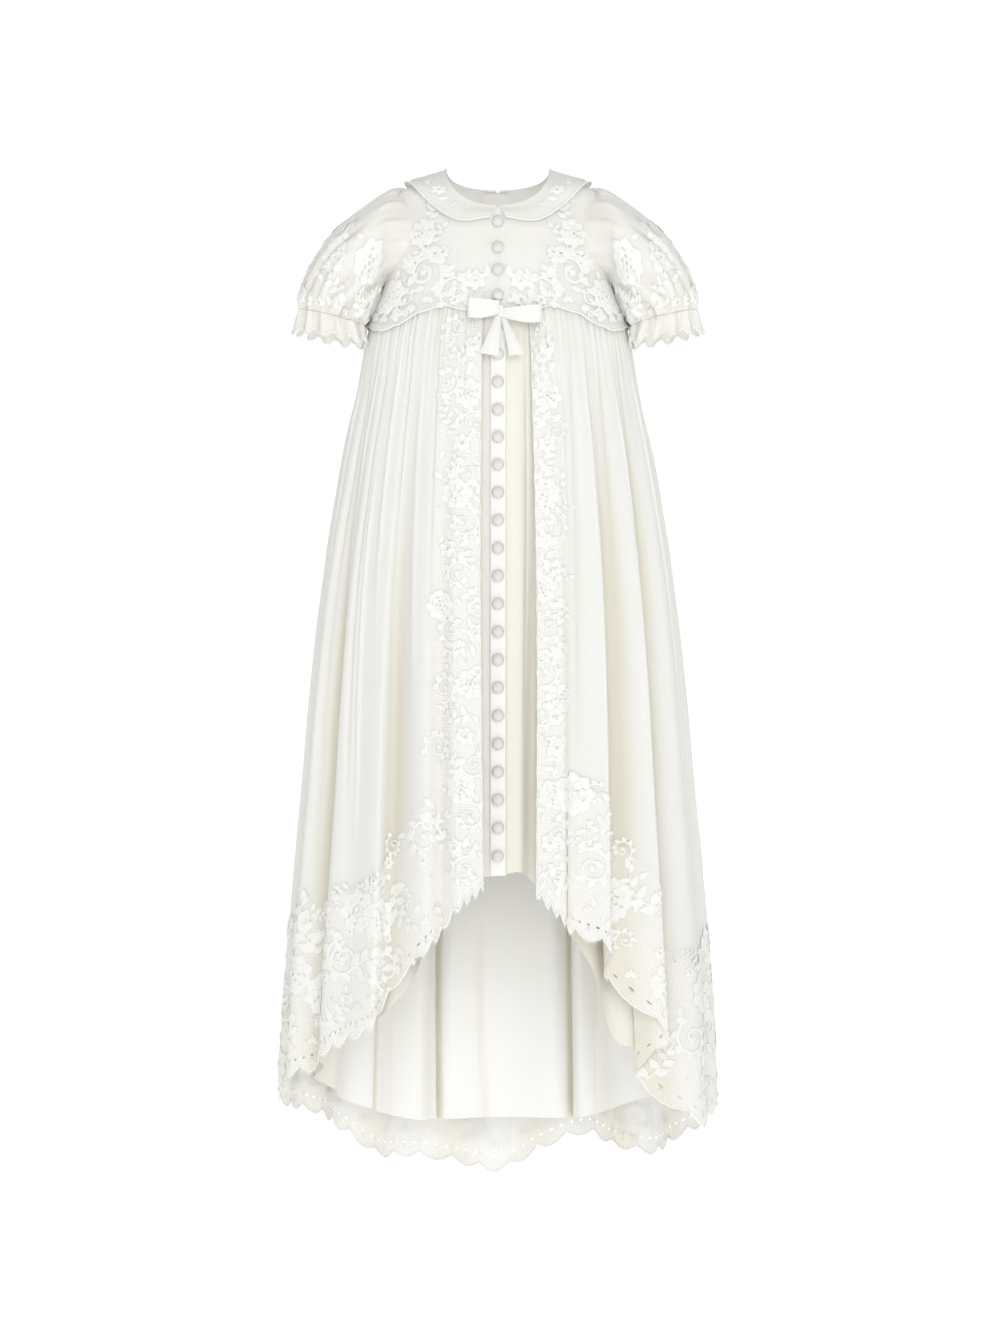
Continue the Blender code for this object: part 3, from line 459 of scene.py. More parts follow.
def ease(value):
    """Rise smoothly from 0 to 1."""
    value = np.clip(value, 0.0, 1.0)
    return value * value * (3.0 - 2.0 * value)


def between(value, start, end, rise, fall):
    """1 from the start to the end, eased in after the one and out before the other."""
    return ease((value - start) / rise) * ease((end - value) / fall)


def section(outline, drop):
    """Half width and half depth of an outline at a drop."""
    return tuple(curve(drop, outline["drop"], outline[name]) for name in ("half_width", "half_depth"))


def section_point(half_width, half_depth, angle, drop, outward):
    """Point on an oval section at an angle from the centre front, moved out along the oval's normal."""
    side = np.sin(np.radians(angle))
    front = np.cos(np.radians(angle))
    normal_x = side / half_width
    normal_y = -front / half_depth
    length = np.hypot(normal_x, normal_y)
    x = half_width * side + outward * normal_x / length
    y = -half_depth * front + outward * normal_y / length
    return np.stack(np.broadcast_arrays(x, y, -drop), axis=-1)


def yoke_point(angle, drop):
    """Point in the middle of the yoke's cloth: its section at this drop, half a wall in."""
    return section_point(*section(YOKE, drop), angle, drop, -YOKE_HALF_WALL)


def wander(place, waves):
    """Sum of sines, each (size, rate, shift), which keeps what repeats from being even."""
    return sum(size * np.sin(rate * place + shift) for size, rate, shift in waves)


class Skirt:
    """A gathered skirt layer: pleat number and drop give a point in the middle of its cloth."""

    def __init__(self, pleats, gathers, gather_depth, inset, creases):
        self.pleats = pleats
        self.gathers = gathers
        self.gather_depth = gather_depth
        self.inset = inset
        self.creases = creases
        self.numbers = np.arange(len(pleats["inward"])) / 2.0
        self.last = self.numbers[-1]

    def column(self, name, number):
        """One column of the pleat table, curved between its rows."""
        return curve(number, self.numbers, self.pleats[name])

    def hem(self, number):
        """Drop of the hem."""
        return self.column("hem_drop", number)

    def down(self, drop):
        """Share of the way from the waist to where the pleats are full."""
        return np.clip((drop - OVERSKIRT_TOP) / (PLEAT_FULL_DROP - OVERSKIRT_TOP), 0.0, 1.0)

    def inward(self, number):
        """Depth inside the outer section: a cosine from each ridge to the next valley."""
        half = np.clip(np.floor(number * 2.0).astype(int), 0, len(self.numbers) - 2)
        f = number * 2.0 - half
        values = self.pleats["inward"]
        return values[half] + (values[half + 1] - values[half]) * (1.0 - np.cos(np.pi * f)) / 2.0

    def crease(self, number, drop):
        """Soft troughs and ridges: a bell across each crease, eased in at its top and out at its bottom."""
        total = np.zeros(np.broadcast(number, drop).shape)
        for place, width, depth, top, bottom in zip(*self.creases.values()):
            shown = between(drop, top, bottom, CREASE_TOP_EASE, CREASE_BOTTOM_EASE)
            lean = CREASE_LEAN * np.sin(drop / CREASE_LEAN_LENGTH + place)
            away = (number - place - lean) / (CREASE_WIDTH_SHARE * width)
            total += CREASE_STRENGTH * depth * np.exp(-away ** 2) * shown
        return total

    def gathered(self, number, drop):
        """Uneven gathers under the waist, 0 to 1: the wave's spacing, depth and length all wander."""
        place = number + wander(number, GATHER_PLACE_WAVES)
        wave = (1.0 - np.cos(2.0 * np.pi * self.gathers * place)) / 2.0
        depth = GATHER_MEAN_DEPTH + wander(number, GATHER_DEPTH_WAVES)
        length = GATHER_END_DROP - OVERSKIRT_TOP + wander(number, GATHER_LENGTH_WAVES)
        return wave * depth * (1.0 - ease((drop - OVERSKIRT_TOP) / length))

    def fine_gathered(self, number, drop):
        """Small gathers between the large ones: a wave of a little over twice their rate, fading sooner."""
        rate = 2.0 * np.pi * (2.0 * self.gathers + 1.0)
        wave = np.sin(rate * number + wander(number, FINE_GATHER_PLACE_WAVES))
        length = FINE_GATHER_LENGTH + wander(number, FINE_GATHER_LENGTH_WAVES)
        return wave * (1.0 - ease((drop - OVERSKIRT_TOP) / length))

    def fold(self, number, drop):
        """Painted shade at a point: how deep it lies in the pleats, gathers and creases, 0 to 1."""
        pleated = (self.inward(number) / FULL_SHADE_DEPTH) ** 2.0 * ease(self.down(drop) * PLEAT_OPENING)
        gathered = GATHER_SHADE * self.gathered(number, drop)
        return np.clip(pleated + gathered - CREASE_SHADE * self.crease(number, drop), 0.0, 1.0)

    def point(self, number, drop):
        """The section of this drop, drawn in by the pleats, the gathers under the waist and the creases."""
        down = self.down(drop)
        waist_angle = self.column("waist_angle", number)
        angle = waist_angle + (self.column("hem_angle", number) - waist_angle) * down
        gathers = self.gathered(number, drop) + FINE_GATHER_SHARE * self.fine_gathered(number, drop)
        inward = self.inward(number) * ease(down * PLEAT_OPENING) + self.gather_depth * gathers
        outward = self.crease(number, drop) - inward - self.inset(angle, drop) - SKIRT_HALF_WALL
        return section_point(*section(SKIRT, drop), angle, drop, outward)


def no_inset(_angle, _drop):
    """The overskirt hangs on the outer section itself."""
    return 0.0


def slip_inset(angle, drop):
    """The slip hangs just inside the overskirt's waist, and lower down clear of its deepest pleats."""
    down = ease((drop - SLIP_TOP) / (PLEAT_FULL_DROP - SLIP_TOP) * PLEAT_OPENING)
    from_front = np.minimum(angle, 360.0 - angle)
    under_pleats = SLIP_FRONT_GAP + SLIP_SIDE_GAP * ease((from_front - SLIP_SIDE_START) / SLIP_SIDE_EASE)
    waist = SLIP_WAIST_GAP + SLIP_SECOND_GAP * ease((drop - SLIP_TOP) / SLIP_SECOND_EASE)
    return waist + under_pleats * down


OVERSKIRT = Skirt(OVERSKIRT_PLEATS, 3, 1.7, no_inset, CREASES)
SLIP = Skirt(SLIP_PLEATS, 2, 0.6, slip_inset, SLIP_CREASES)


def lace_top(number):
    """Drop at which the hem lace starts: its band is deeper at the sides and back."""
    away_from_front = (1.0 - np.cos(np.radians(OVERSKIRT.column("hem_angle", number)))) / LACE_DEEP_FROM
    return OVERSKIRT.hem(number) - HEM_BAND_FRONT - (HEM_BAND_BACK - HEM_BAND_FRONT) * ease(away_from_front)


def scallop(number):
    """Extra drop of the scalloped hem: rounded lobes between notches, each with small lobes of its own."""
    phase = np.pi * SCALLOPS_PER_PLEAT * (number + SCALLOP_SHIFT)
    return SCALLOP_DEPTH * np.abs(np.sin(phase)) + SMALL_LOBE_DEPTH * np.abs(np.sin(SMALL_LOBES * phase))


def hem_edge(number):
    """Drop of the lace's scalloped edge."""
    return OVERSKIRT.hem(number) + scallop(number)


def armhole_ring(turn, outward):
    """The armhole edge of the yoke, moved out: a power of the sine gives its width at each height."""
    reach = np.sign(np.sin(turn)) * np.abs(np.sin(turn)) ** (2.0 * ARMHOLE_POWER)
    drop = ARMHOLE_MIDDLE - ARMHOLE_HALF * np.cos(turn)
    return section_point(*section(YOKE, drop), 90.0 - ARMHOLE_DEGREES * reach, drop, outward)


def ring_points(outer_x, outer_drop, inner_x, inner_drop, front, back, turn):
    """Points of an oval ring between two rails; turn 0 is the outer rail, a quarter turn the front."""
    cosine = np.cos(turn)
    sine = np.sin(turn)
    x = (outer_x + inner_x) / 2.0 + (outer_x - inner_x) / 2.0 * cosine
    drop = (outer_drop + inner_drop) / 2.0 + (outer_drop - inner_drop) / 2.0 * cosine
    y = np.where(sine > 0.0, -front * sine, -back * sine)
    return np.stack(np.broadcast_arrays(x, y, -drop), axis=-1)


def clear_of_body(points, clearance):
    """Push points that would lie inside the yoke or the skirt out to this clearance."""
    drop = -points[..., 2]
    on_yoke, on_skirt = drop < YOKE["drop"][-1], drop > OVERSKIRT_TOP
    half_width, half_depth = (
        np.maximum(yoke * on_yoke, skirt * on_skirt)
        for yoke, skirt in zip(section(YOKE, drop), section(SKIRT, drop))
    )
    level = np.hypot(points[..., 0] / (half_width + clearance), points[..., 1] / (half_depth + clearance))
    factor = np.where(level < 1.0, 1.0 / np.maximum(level, 0.2), 1.0)
    return points * np.stack((factor, factor, np.ones_like(factor)), axis=-1)


def sleeve_crease(turn, along):
    """Height of the sleeve's slanting creases: a bell across each, eased in and out along it."""
    total = np.zeros(np.broadcast(turn, along).shape)
    for place, slant, width, depth, start, end in zip(*SLEEVE_CREASES.values()):
        away = (turn - place - slant * along + np.pi) % (2.0 * np.pi) - np.pi
        shown = between(along, start, end, SLEEVE_CREASE_RISE, SLEEVE_CREASE_FALL)
        total += depth * np.exp(-(away / width) ** 2) * shown
    return total


def sleeve_fold_shade(turn, along):
    """Painted shade of the sleeve: how deep a point lies in its creases and in its gathers near both ends, 0 to
    1.
    """
    near_end = 1.0 - ease(np.minimum(along, 1.0 - along) * 5.0)
    gathers = SLEEVE_GATHER_SHADE * (1.0 - np.cos(turn * RUFFLE_WAVES)) * near_end
    return np.clip(gathers - SLEEVE_CREASE_SHADE * sleeve_crease(turn, along), 0.0, 1.0)


# Waves of the sleeve, as shares of its radius: gathers at both ends, long folds, and pinched folds lower down
SLEEVE_GATHER = 0.045
SLEEVE_FINE_GATHER = 0.02
SLEEVE_FOLD = 0.05
SLEEVE_FOLDS = 5.0
SLEEVE_PINCH = 0.028
SLEEVE_PINCHES = 9.0
SLEEVE_FINE_PINCH = 0.016
SLEEVE_FINE_PINCHES = 23.0
SLEEVE_CLEARANCE = 2.0
ARMHOLE_BLEND = 0.09


def ring_centre(values):
    """The middle line of a ring between two rails."""
    return ring_points(*values, np.pi / 2.0) * (1.0, 0.0, 1.0)


def sleeve_point(turn, along):
    """Right puff sleeve: rings between its rails, gathered at both ends, with long soft folds between."""
    crease = sleeve_crease(turn, along) / SLEEVE_RADIUS
    turn, along = np.broadcast_arrays(-turn, along)
    values = [curve(along, SLEEVE["along"], SLEEVE[name]) for name in
              ("outer_x", "outer_drop", "inner_x", "inner_drop", "front", "back")]
    centre = ring_centre(values)
    rings = ring_points(*values, turn)
    near_end = 1.0 - ease(np.minimum(along, 1.0 - along) * 4.0)
    gathers = SLEEVE_GATHER * np.cos(turn * RUFFLE_WAVES)
    gathers = gathers + SLEEVE_FINE_GATHER * np.cos(turn * 2.0 * RUFFLE_WAVES + 1.0)
    body = ease(along * 3.0) * ease((1.0 - along) * 5.0)
    folds = SLEEVE_FOLD * np.cos(turn * SLEEVE_FOLDS + 1.2) * body
    lower = ease((along - 0.35) * 2.2) * ease((1.0 - along) * 9.0)
    place = turn + 0.05 * np.sin(3.0 * turn) + 0.10 * along
    pinched = SLEEVE_PINCH * np.abs(np.cos(place * SLEEVE_PINCHES)) ** 0.7
    pinched = pinched + SLEEVE_FINE_PINCH * np.cos(place * SLEEVE_FINE_PINCHES + 0.7)
    swell = 1.0 + gathers * near_end + folds + pinched * lower + crease
    rings = clear_of_body(centre + (rings - centre) * swell[..., None], SLEEVE_CLEARANCE)
    start = armhole_ring(turn, -0.5)
    return start + (rings - start) * ease(along / ARMHOLE_BLEND)[..., None]


# The frill's waves as a share of its radius, their rise and fall, its small lobes, and its gap to the body
FRILL_WAVE = 0.08
FRILL_RISE = 2.6
FRILL_LOBE = 1.6
FRILL_LOBES_PER_WAVE = 1.5
FRILL_CLEARANCE = 2.6


def ruffle_point(turn, along):
    """Lace frill of the right sleeve: from the sleeve's last ring to a flared, waved edge."""
    turn, along = np.broadcast_arrays(turn, along)
    start = sleeve_point(turn, np.ones_like(turn)) - (0.0, 0.0, 0.5)
    values = (*RUFFLE_OUTER, *RUFFLE_INNER, RUFFLE_FRONT, RUFFLE_BACK)
    centre = ring_centre(values)
    wave = np.cos(turn * RUFFLE_WAVES)[..., None]
    lobes = np.abs(np.sin(turn * RUFFLE_WAVES * FRILL_LOBES_PER_WAVE))[..., None]
    edge = centre + (ring_points(*values, -turn) - centre) * (1.0 + FRILL_WAVE * wave)
    edge = edge - (0.0, 0.0, FRILL_RISE) * wave - (0.0, 0.0, FRILL_LOBE) * lobes
    flare = along[..., None]
    frill = clear_of_body(start + (edge - start) * flare, FRILL_CLEARANCE)
    return start + (frill - start) * ease(flare * 6.0)


# The collar stands off the yoke more towards its edge, bulges in the middle and rises over the shoulder
COLLAR_STAND = 2.2
COLLAR_BULGE = 1.4
COLLAR_SHOULDER_RISE = 3.0
COLLAR_SHOULDER_SPREAD = 26.0
COLLAR_RIPPLE = 0.5


def collar_point(around, across):
    """Right collar half: a half-round roll over the neck edge, then out over the shoulder, a little off it."""
    around, across = np.broadcast_arrays(around, across)
    rolled = np.clip(across / COLLAR_ROLL_SHARE, 0.0, 1.0)
    flat = np.clip((across - COLLAR_ROLL_SHARE) / (1.0 - COLLAR_ROLL_SHARE), 0.0, 1.2)
    cosine = np.cos(np.radians(around))
    reach = np.where(cosine > 0.0, NECK_FRONT_DROP, NECK_BACK_DROP) - NECK_POINT_DROP
    neck_drop = NECK_POINT_DROP + 0.6 + reach * np.abs(cosine)
    neck_x = np.maximum(NECK_HALF_WIDTH * np.sin(np.radians(around)), 0.8)
    x = neck_x + (curve(around, COLLAR["angle"], COLLAR["outer_x"]) - neck_x) * flat
    drop = neck_drop + (curve(around, COLLAR["angle"], COLLAR["outer_drop"]) - neck_drop) * flat
    half_width, half_depth = section(YOKE, drop)
    angle = np.degrees(np.arcsin(np.clip(x / half_width, 0.0, 1.0)))
    angle = np.where(around > 90.0, 180.0 - angle, angle)
    bulge = COLLAR_BULGE * np.sin(np.pi * np.clip(flat, 0.0, 1.0)) ** 2
    outward = COLLAR_STAND * flat ** 1.5 + bulge - COLLAR_ROLL * np.cos(np.pi * rolled)
    points = section_point(half_width, half_depth, angle, drop, outward)
    over_shoulder = COLLAR_SHOULDER_RISE * np.exp(-((around - 90.0) / COLLAR_SHOULDER_SPREAD) ** 2)
    ripple = COLLAR_RIPPLE * np.sin(around * 0.16 + 1.0) * flat
    rise = over_shoulder + COLLAR_ROLL * np.sin(np.pi * rolled) + ripple
    return points + rise[..., None] * (0.0, 0.0, 1.0)


def mirrored(surface):
    """The same surface on the left side."""
    return lambda u, v: surface(u, v) * (-1.0, 1.0, 1.0)


# ---------------------------------------------------------------- meshes


def single(function, place):
    """One number from a function that works on arrays."""
    return float(function(np.array(place)))


def down_grid(top, bottom, rows):
    """Drops of a grid's rows, evenly from its top edge to its bottom edge."""
    return top + np.linspace(0.0, 1.0, rows)[:, None] * (bottom - top)


def grid_faces(rows, columns, ring=False, flip=False):
    """Quads of a grid, ordered down and then across, so that they face the cross product of the two."""
    index = np.arange(rows * columns).reshape(rows, columns)
    if ring:
        index = np.concatenate((index, index[:, :1]), axis=1)
    quads = np.stack((index[:-1, :-1], index[1:, :-1], index[1:, 1:], index[:-1, 1:]), axis=-1).reshape(-1, 4)
    return quads[:, ::-1] if flip else quads


def make_piece(name, points, quads, material, uv=None, eyelets=None, fold=None, replaces=()):
    """Make one mesh object from arrays, riding on the gown.

    Its texture maps are in millimetres, and the fold values, 0 to 1, give the painted shade of each point deep
    in a fold.
    """
    mesh = bpy.data.meshes.new(name)
    points = points.reshape(-1, 3)
    mesh.vertices.add(len(points))
    mesh.vertices.foreach_set("co", (points * MM).astype(np.float32).ravel())
    mesh.loops.add(quads.size)
    mesh.loops.foreach_set("vertex_index", quads.astype(np.int32).ravel())
    mesh.polygons.add(len(quads))
    mesh.polygons.foreach_set("loop_start", np.arange(0, quads.size, quads.shape[1], dtype=np.int32))
    mesh.update(calc_edges=True)
    for label, values in (("cloth", uv), ("eyelet", eyelets)):
        if values is not None:
            layer = mesh.uv_layers.new(name=label)
            layer.data.foreach_set("uv", values.reshape(-1, 2)[quads.ravel()].astype(np.float32).ravel())
    if fold is not None:
        layer = mesh.attributes.new("fold", "FLOAT", "POINT")
        layer.data.foreach_set("value", np.clip(fold, 0.0, 1.0).astype(np.float32).ravel())
    mesh.materials.append(cloth(material))
    mesh.shade_smooth()
    piece = bpy.data.objects.new(name, mesh)
    bpy.context.scene.collection.objects.link(piece)
    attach(piece, BODY)
    if replaces:
        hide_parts(*replaces)
    return piece


def cloth_uv(points):
    """Distance across along the middle row and distance down each column, in millimetres."""
    across = np.linalg.norm(np.diff(points, axis=1), axis=-1)
    across = np.concatenate((np.zeros((points.shape[0], 1)), np.cumsum(across, axis=1)), axis=1)
    down = np.linalg.norm(np.diff(points, axis=0), axis=-1)
    down = np.concatenate((np.zeros((1, points.shape[1])), np.cumsum(down, axis=0)), axis=0)
    middle = across[points.shape[0] // 2]
    return np.stack(np.broadcast_arrays(middle[None, :], down), axis=-1)


def cloth_piece(name, node, points, material, fold=None, eyelets=None, ring=False, flip=False):
    """Make a sheet of cloth from its grid of points, in place of the solid of this node."""
    quads = grid_faces(*points.shape[:2], ring=ring, flip=flip)
    return make_piece(name, points, quads, material, cloth_uv(points), eyelets, fold, (node,))


class Ground:
    """A surface that lace is laid on.

    It has the surface itself, small steps in its two coordinates, how far a motif may reach in the first one,
    that coordinate's limits, and 1 or -1 for the side that the cloth shows.
    """

    HALF_SAMPLES = 80

    def __init__(self, surface, steps, reach, limits, side=1.0):
        self.surface = surface
        self.step_u, self.step_v = steps
        self.reach = reach
        self.limits = limits
        self.side = side

    def normals(self, u, v):
        """Unit normals: the cross product of two short steps over the surface."""
        small_u, small_v = self.step_u / 8.0, self.step_v / 8.0
        across = self.surface(u + small_u, v) - self.surface(u - small_u, v)
        down = self.surface(u, v + small_v) - self.surface(u, v - small_v)
        return unit(np.cross(down, across) * self.side)

    def lay(self, u, v, local):
        """Put flat points (right, down, height) on the surface around the place (u, v).

        The way to the right is measured along the surface through folds, the way down by the surface's
        millimetres per unit at the place, and the height goes along the normal.
        """
        samples = 2 * self.HALF_SAMPLES + 1
        window = u + np.linspace(-self.reach, self.reach, samples)
        row = self.surface(window, np.full(samples, v))
        run = np.concatenate(([0.0], np.cumsum(np.linalg.norm(np.diff(row, axis=0), axis=-1))))
        at_u = np.clip(np.interp(local[:, 0], run - run[self.HALF_SAMPLES], window), *self.limits)
        step = self.surface(np.array([u, u]), np.array([v - self.step_v, v + self.step_v]))
        rate_v = np.linalg.norm(step[1] - step[0]) / (2.0 * self.step_v)
        at_v = v + local[:, 1] / rate_v
        return self.surface(at_u, at_v) + self.normals(at_u, at_v) * local[:, 2:3]


# ---------------------------------------------------------------- lace motifs, flat, in millimetres

# Sections of a petal and of a cord: places across, as shares of half the width, and heights there
BLADE_ACROSS = np.array((-1.0, -0.78, -0.4, 0.0, 0.4, 0.78, 1.0))
BLADE_HEIGHT = np.array((0.0, 0.95, 0.5, 0.7, 0.5, 0.95, 0.0))
CORD_ACROSS = np.array((-1.0, -0.55, 0.0, 0.55, 1.0))
CORD_HEIGHT = np.array((0.0, 0.75, 1.0, 0.75, 0.0))


def blade(length, width, x=0.0, y=0.0, turn=0.0, bend=0.0, start=0.0, height=0.6, rows=6):
    """A petal or leaf with a corded rim: half its width is the sine of the way along, to the power 0.75."""
    a = np.linspace(0.0, 1.0, rows)[:, None]
    half = np.maximum(width / 2.0 * np.sin(np.pi * a ** 0.8) ** 0.75, 0.15)
    across = half * BLADE_ACROSS + bend * np.sin(np.pi * a / 2.0) ** 2
    along = start + a * length + 0.0 * BLADE_ACROSS
    lift = 0.12 + height * BLADE_HEIGHT * np.minimum(half / 1.2, 1.0)
    cosine, sine = math.cos(turn), math.sin(turn)
    points = np.stack((x + across * cosine + along * sine, y + across * sine - along * cosine, lift), axis=-1)
    return points.reshape(-1, 3), grid_faces(rows, len(BLADE_ACROSS), flip=True)


def unit(vectors):
    """Vectors of length one in the same directions."""
    return vectors / np.maximum(np.linalg.norm(vectors, axis=-1, keepdims=True), 1e-9)


def cord(path, width, taper=0.5, height=0.6):
    """A raised cord along a path of (x, y) points, narrower towards its end by the taper."""
    path = np.asarray(path, dtype=float)
    along = unit(np.gradient(path, axis=0))
    side = np.stack((-along[:, 1], along[:, 0]), axis=1)
    half = width / 2.0 * (1.0 - taper * np.linspace(0.0, 1.0, len(path)))[:, None, None]
    flat = path[:, None, :] + side[:, None, :] * half * CORD_ACROSS[None, :, None]
    lift = 0.1 + height * CORD_HEIGHT * np.ones((len(path), 1))
    points = np.concatenate((flat, lift[..., None]), axis=-1)
    return points.reshape(-1, 3), grid_faces(len(path), len(CORD_ACROSS))


SCROLL_SHRINK = 0.82
SCROLL_TURNS = 1.35
SCROLL_LEAVES = 7
SCROLL_LEAF_START = 0.1
SCROLL_LEAF_STEP = 0.72


def spiral(radius, turns, hand, start, width=2.4, steps=22):
    """A scroll about the origin: its radius shrinks evenly as it winds in."""
    t = np.linspace(0.0, 1.0, steps)
    angle = start + hand * turns * 2.0 * np.pi * t
    reach = radius * (1.0 - SCROLL_SHRINK * t)
    return cord(np.stack((reach * np.cos(angle), reach * np.sin(angle)), axis=1), width, 0.35)


def join(parts):
    """Put several (points, quads) together."""
    points = np.concatenate([part[0] for part in parts])
    counts = np.cumsum([0] + [len(part[0]) for part in parts[:-1]])
    return points, np.concatenate([part[1] + count for part, count in zip(parts, counts)])


def flower(rings):
    """A round flower of petal rings, each (petals, inner radius, length, width), with a knotted middle."""
    parts = []
    for index, (petals, start, length, width) in enumerate(rings):
        step = 2.0 * math.pi / petals
        parts += [
            blade(length, width, turn=(k + 0.5 * (index % 2)) * step, start=start, height=0.6 + 0.3 * index)
            for k in range(petals)
        ]
    ring = np.linspace(0.0, 2.0 * np.pi, 9)
    knot = rings[-1][1] + 1.0
    parts.append(cord(np.stack((knot * np.cos(ring), knot * np.sin(ring)), axis=1), knot * 0.9, 0.0, 1.4))
    return join(parts)


def spray(length, leaves, hand=1.0):
    """A bent stem with leaves that shorten towards its tip, ending in a bud."""
    t = np.linspace(0.0, 1.0, 10)
    path = np.stack((hand * length * 0.28 * np.sin(np.pi * t * 0.9), length * (0.5 - t)), axis=1)
    parts = [cord(path, 1.5, 0.4)]
    for k in range(leaves):
        f = (k + 0.4) / leaves
        x, y = np.interp(f, t, path[:, 0]), np.interp(f, t, path[:, 1])
        size = length * (0.40 - 0.2 * f)
        side = 1.0 if k % 2 else -1.0
        parts.append(blade(size, size * 0.56, x, y, side * (1.0 - 0.25 * f), bend=side * 1.2))
    parts.append(blade(length * 0.22, length * 0.15, path[-1, 0], path[-1, 1], -0.2 * hand))
    return join(parts)


def volute(radius, hand=1.0):
    """A scroll with broad leaves curling off its outer side."""
    parts = [spiral(radius, SCROLL_TURNS, hand, math.pi / 2.0)]
    for k in range(SCROLL_LEAVES):
        wound = SCROLL_LEAF_START + k * SCROLL_LEAF_STEP
        angle = math.pi / 2.0 + hand * wound
        reach = radius * (1.0 - SCROLL_SHRINK * wound / (SCROLL_TURNS * 2.0 * math.pi))
        x, y = reach * math.cos(angle), reach * math.sin(angle)
        parts.append(blade(radius * 0.52, radius * 0.44, x, y, angle + math.pi / 2.0 + hand * 0.8, bend=hand))
    parts.append(blade(radius * 0.42, radius * 0.4, 0.0, radius * 0.14, 0.3, height=1.2))
    return join(parts)


def fan(radius):
    """Five leaves fanned out over a small arc, to sit above a scallop."""
    return join([
        blade(radius * (1.0 - 0.12 * abs(k)), radius * 0.46, turn=k * 0.55, start=radius * 0.15)
        for k in (-2, -1, 0, 1, 2)
    ])


# Flowers as rings of petals: (petals, inner radius, length, width)
ROSE_RINGS = ((8, 7.0, 8.0, 9.5), (6, 3.6, 6.0, 7.5), (4, 1.2, 3.6, 5.0))
DAISY_RINGS = ((6, 1.4, 6.2, 5.6),)
BUD_RINGS = ((5, 0.6, 3.2, 3.2),)
MOTIFS = {
    "rose": flower(ROSE_RINGS),
    "daisy": flower(DAISY_RINGS),
    "bud": flower(BUD_RINGS),
    "spray": spray(30.0, 8),
    "spray_left": spray(30.0, 8, -1.0),
    "volute": volute(12.0),
    "volute_left": volute(12.0, -1.0),
    "fan": fan(9.0),
    "leaf": blade(12.0, 7.0, start=-6.0, bend=1.5),
}


def motif_points(kind, turn, size):
    """The motif's points turned by some degrees and made larger by the size."""
    points, quads = MOTIFS[kind]
    cosine, sine = math.cos(math.radians(turn)), math.sin(math.radians(turn))
    turned = np.stack((
        (points[:, 0] * cosine - points[:, 1] * sine) * size,
        (points[:, 0] * sine + points[:, 1] * cosine) * size,
        points[:, 2] * min(size, 1.1),
    ), axis=1)
    return turned, quads


LARGE_MOTIFS = ("rose", "volute", "spray", "volute_left", "rose", "spray_left")
GOLDEN_SHARE = 0.618034
GOLDEN_DEGREES = 137.5


def relief(name, ground, rows, lift):
    """Join motifs laid on one ground: each row is (kind, first coordinate, second coordinate, turn, size)."""
    parts = []
    for kind, u, v, turn, size in rows:
        local, quads = motif_points(kind, turn, size)
        parts.append((ground.lay(u, v, local + (0.0, 0.0, lift)), quads))
    points, quads = join(parts)
    return make_piece(name, points, quads if ground.side > 0.0 else quads[:, ::-1], "thread")


def edge_cord(name, ground, u, v, width=1.6, height=0.8):
    """A raised cord along a line on a ground: its section stands on the ground's normals."""
    points = ground.surface(u, v)
    normal = ground.normals(u, v)
    side = unit(np.cross(normal, np.gradient(points, axis=0)))
    grid = (points[:, None] + side[:, None] * (CORD_ACROSS * width / 2.0)[None, :, None]
            + normal[:, None] * (0.3 + height * CORD_HEIGHT)[None, :, None])
    return make_piece(name, grid, grid_faces(len(u), len(CORD_ACROSS), flip=True), "thread")


def sown(count, kinds, sizes, start, end, place, skip=0):
    """Evenly sown motifs: in order from start to end, with the golden ratio giving how far down each lies."""
    rows = []
    for k in range(count):
        u = start + (end - start) * (k + 0.5) / count
        v = place(u, ((k + skip) * GOLDEN_SHARE) % 1.0)
        if v is not None:
            turn = (k * GOLDEN_DEGREES) % 360.0
            rows.append((kinds[k % len(kinds)], u, float(v), turn, sizes[k % len(sizes)]))
    return rows


def lashes(name, surface, u, v, reach_u, reach_v):
    """Fine threads that stand out from an edge, each a narrow strip that ends in a point."""
    root = surface(u, v)
    tip = surface(u + reach_u, v + reach_v)
    side = unit(np.gradient(root, axis=0)) * LASH_WIDTH
    points = np.stack((root - side / 2.0, root + side / 2.0, tip + side / 6.0, tip - side / 6.0), axis=1)
    return make_piece(name, points, np.arange(len(u) * 4).reshape(-1, 4), "thread")


# ---------------------------------------------------------------- materials


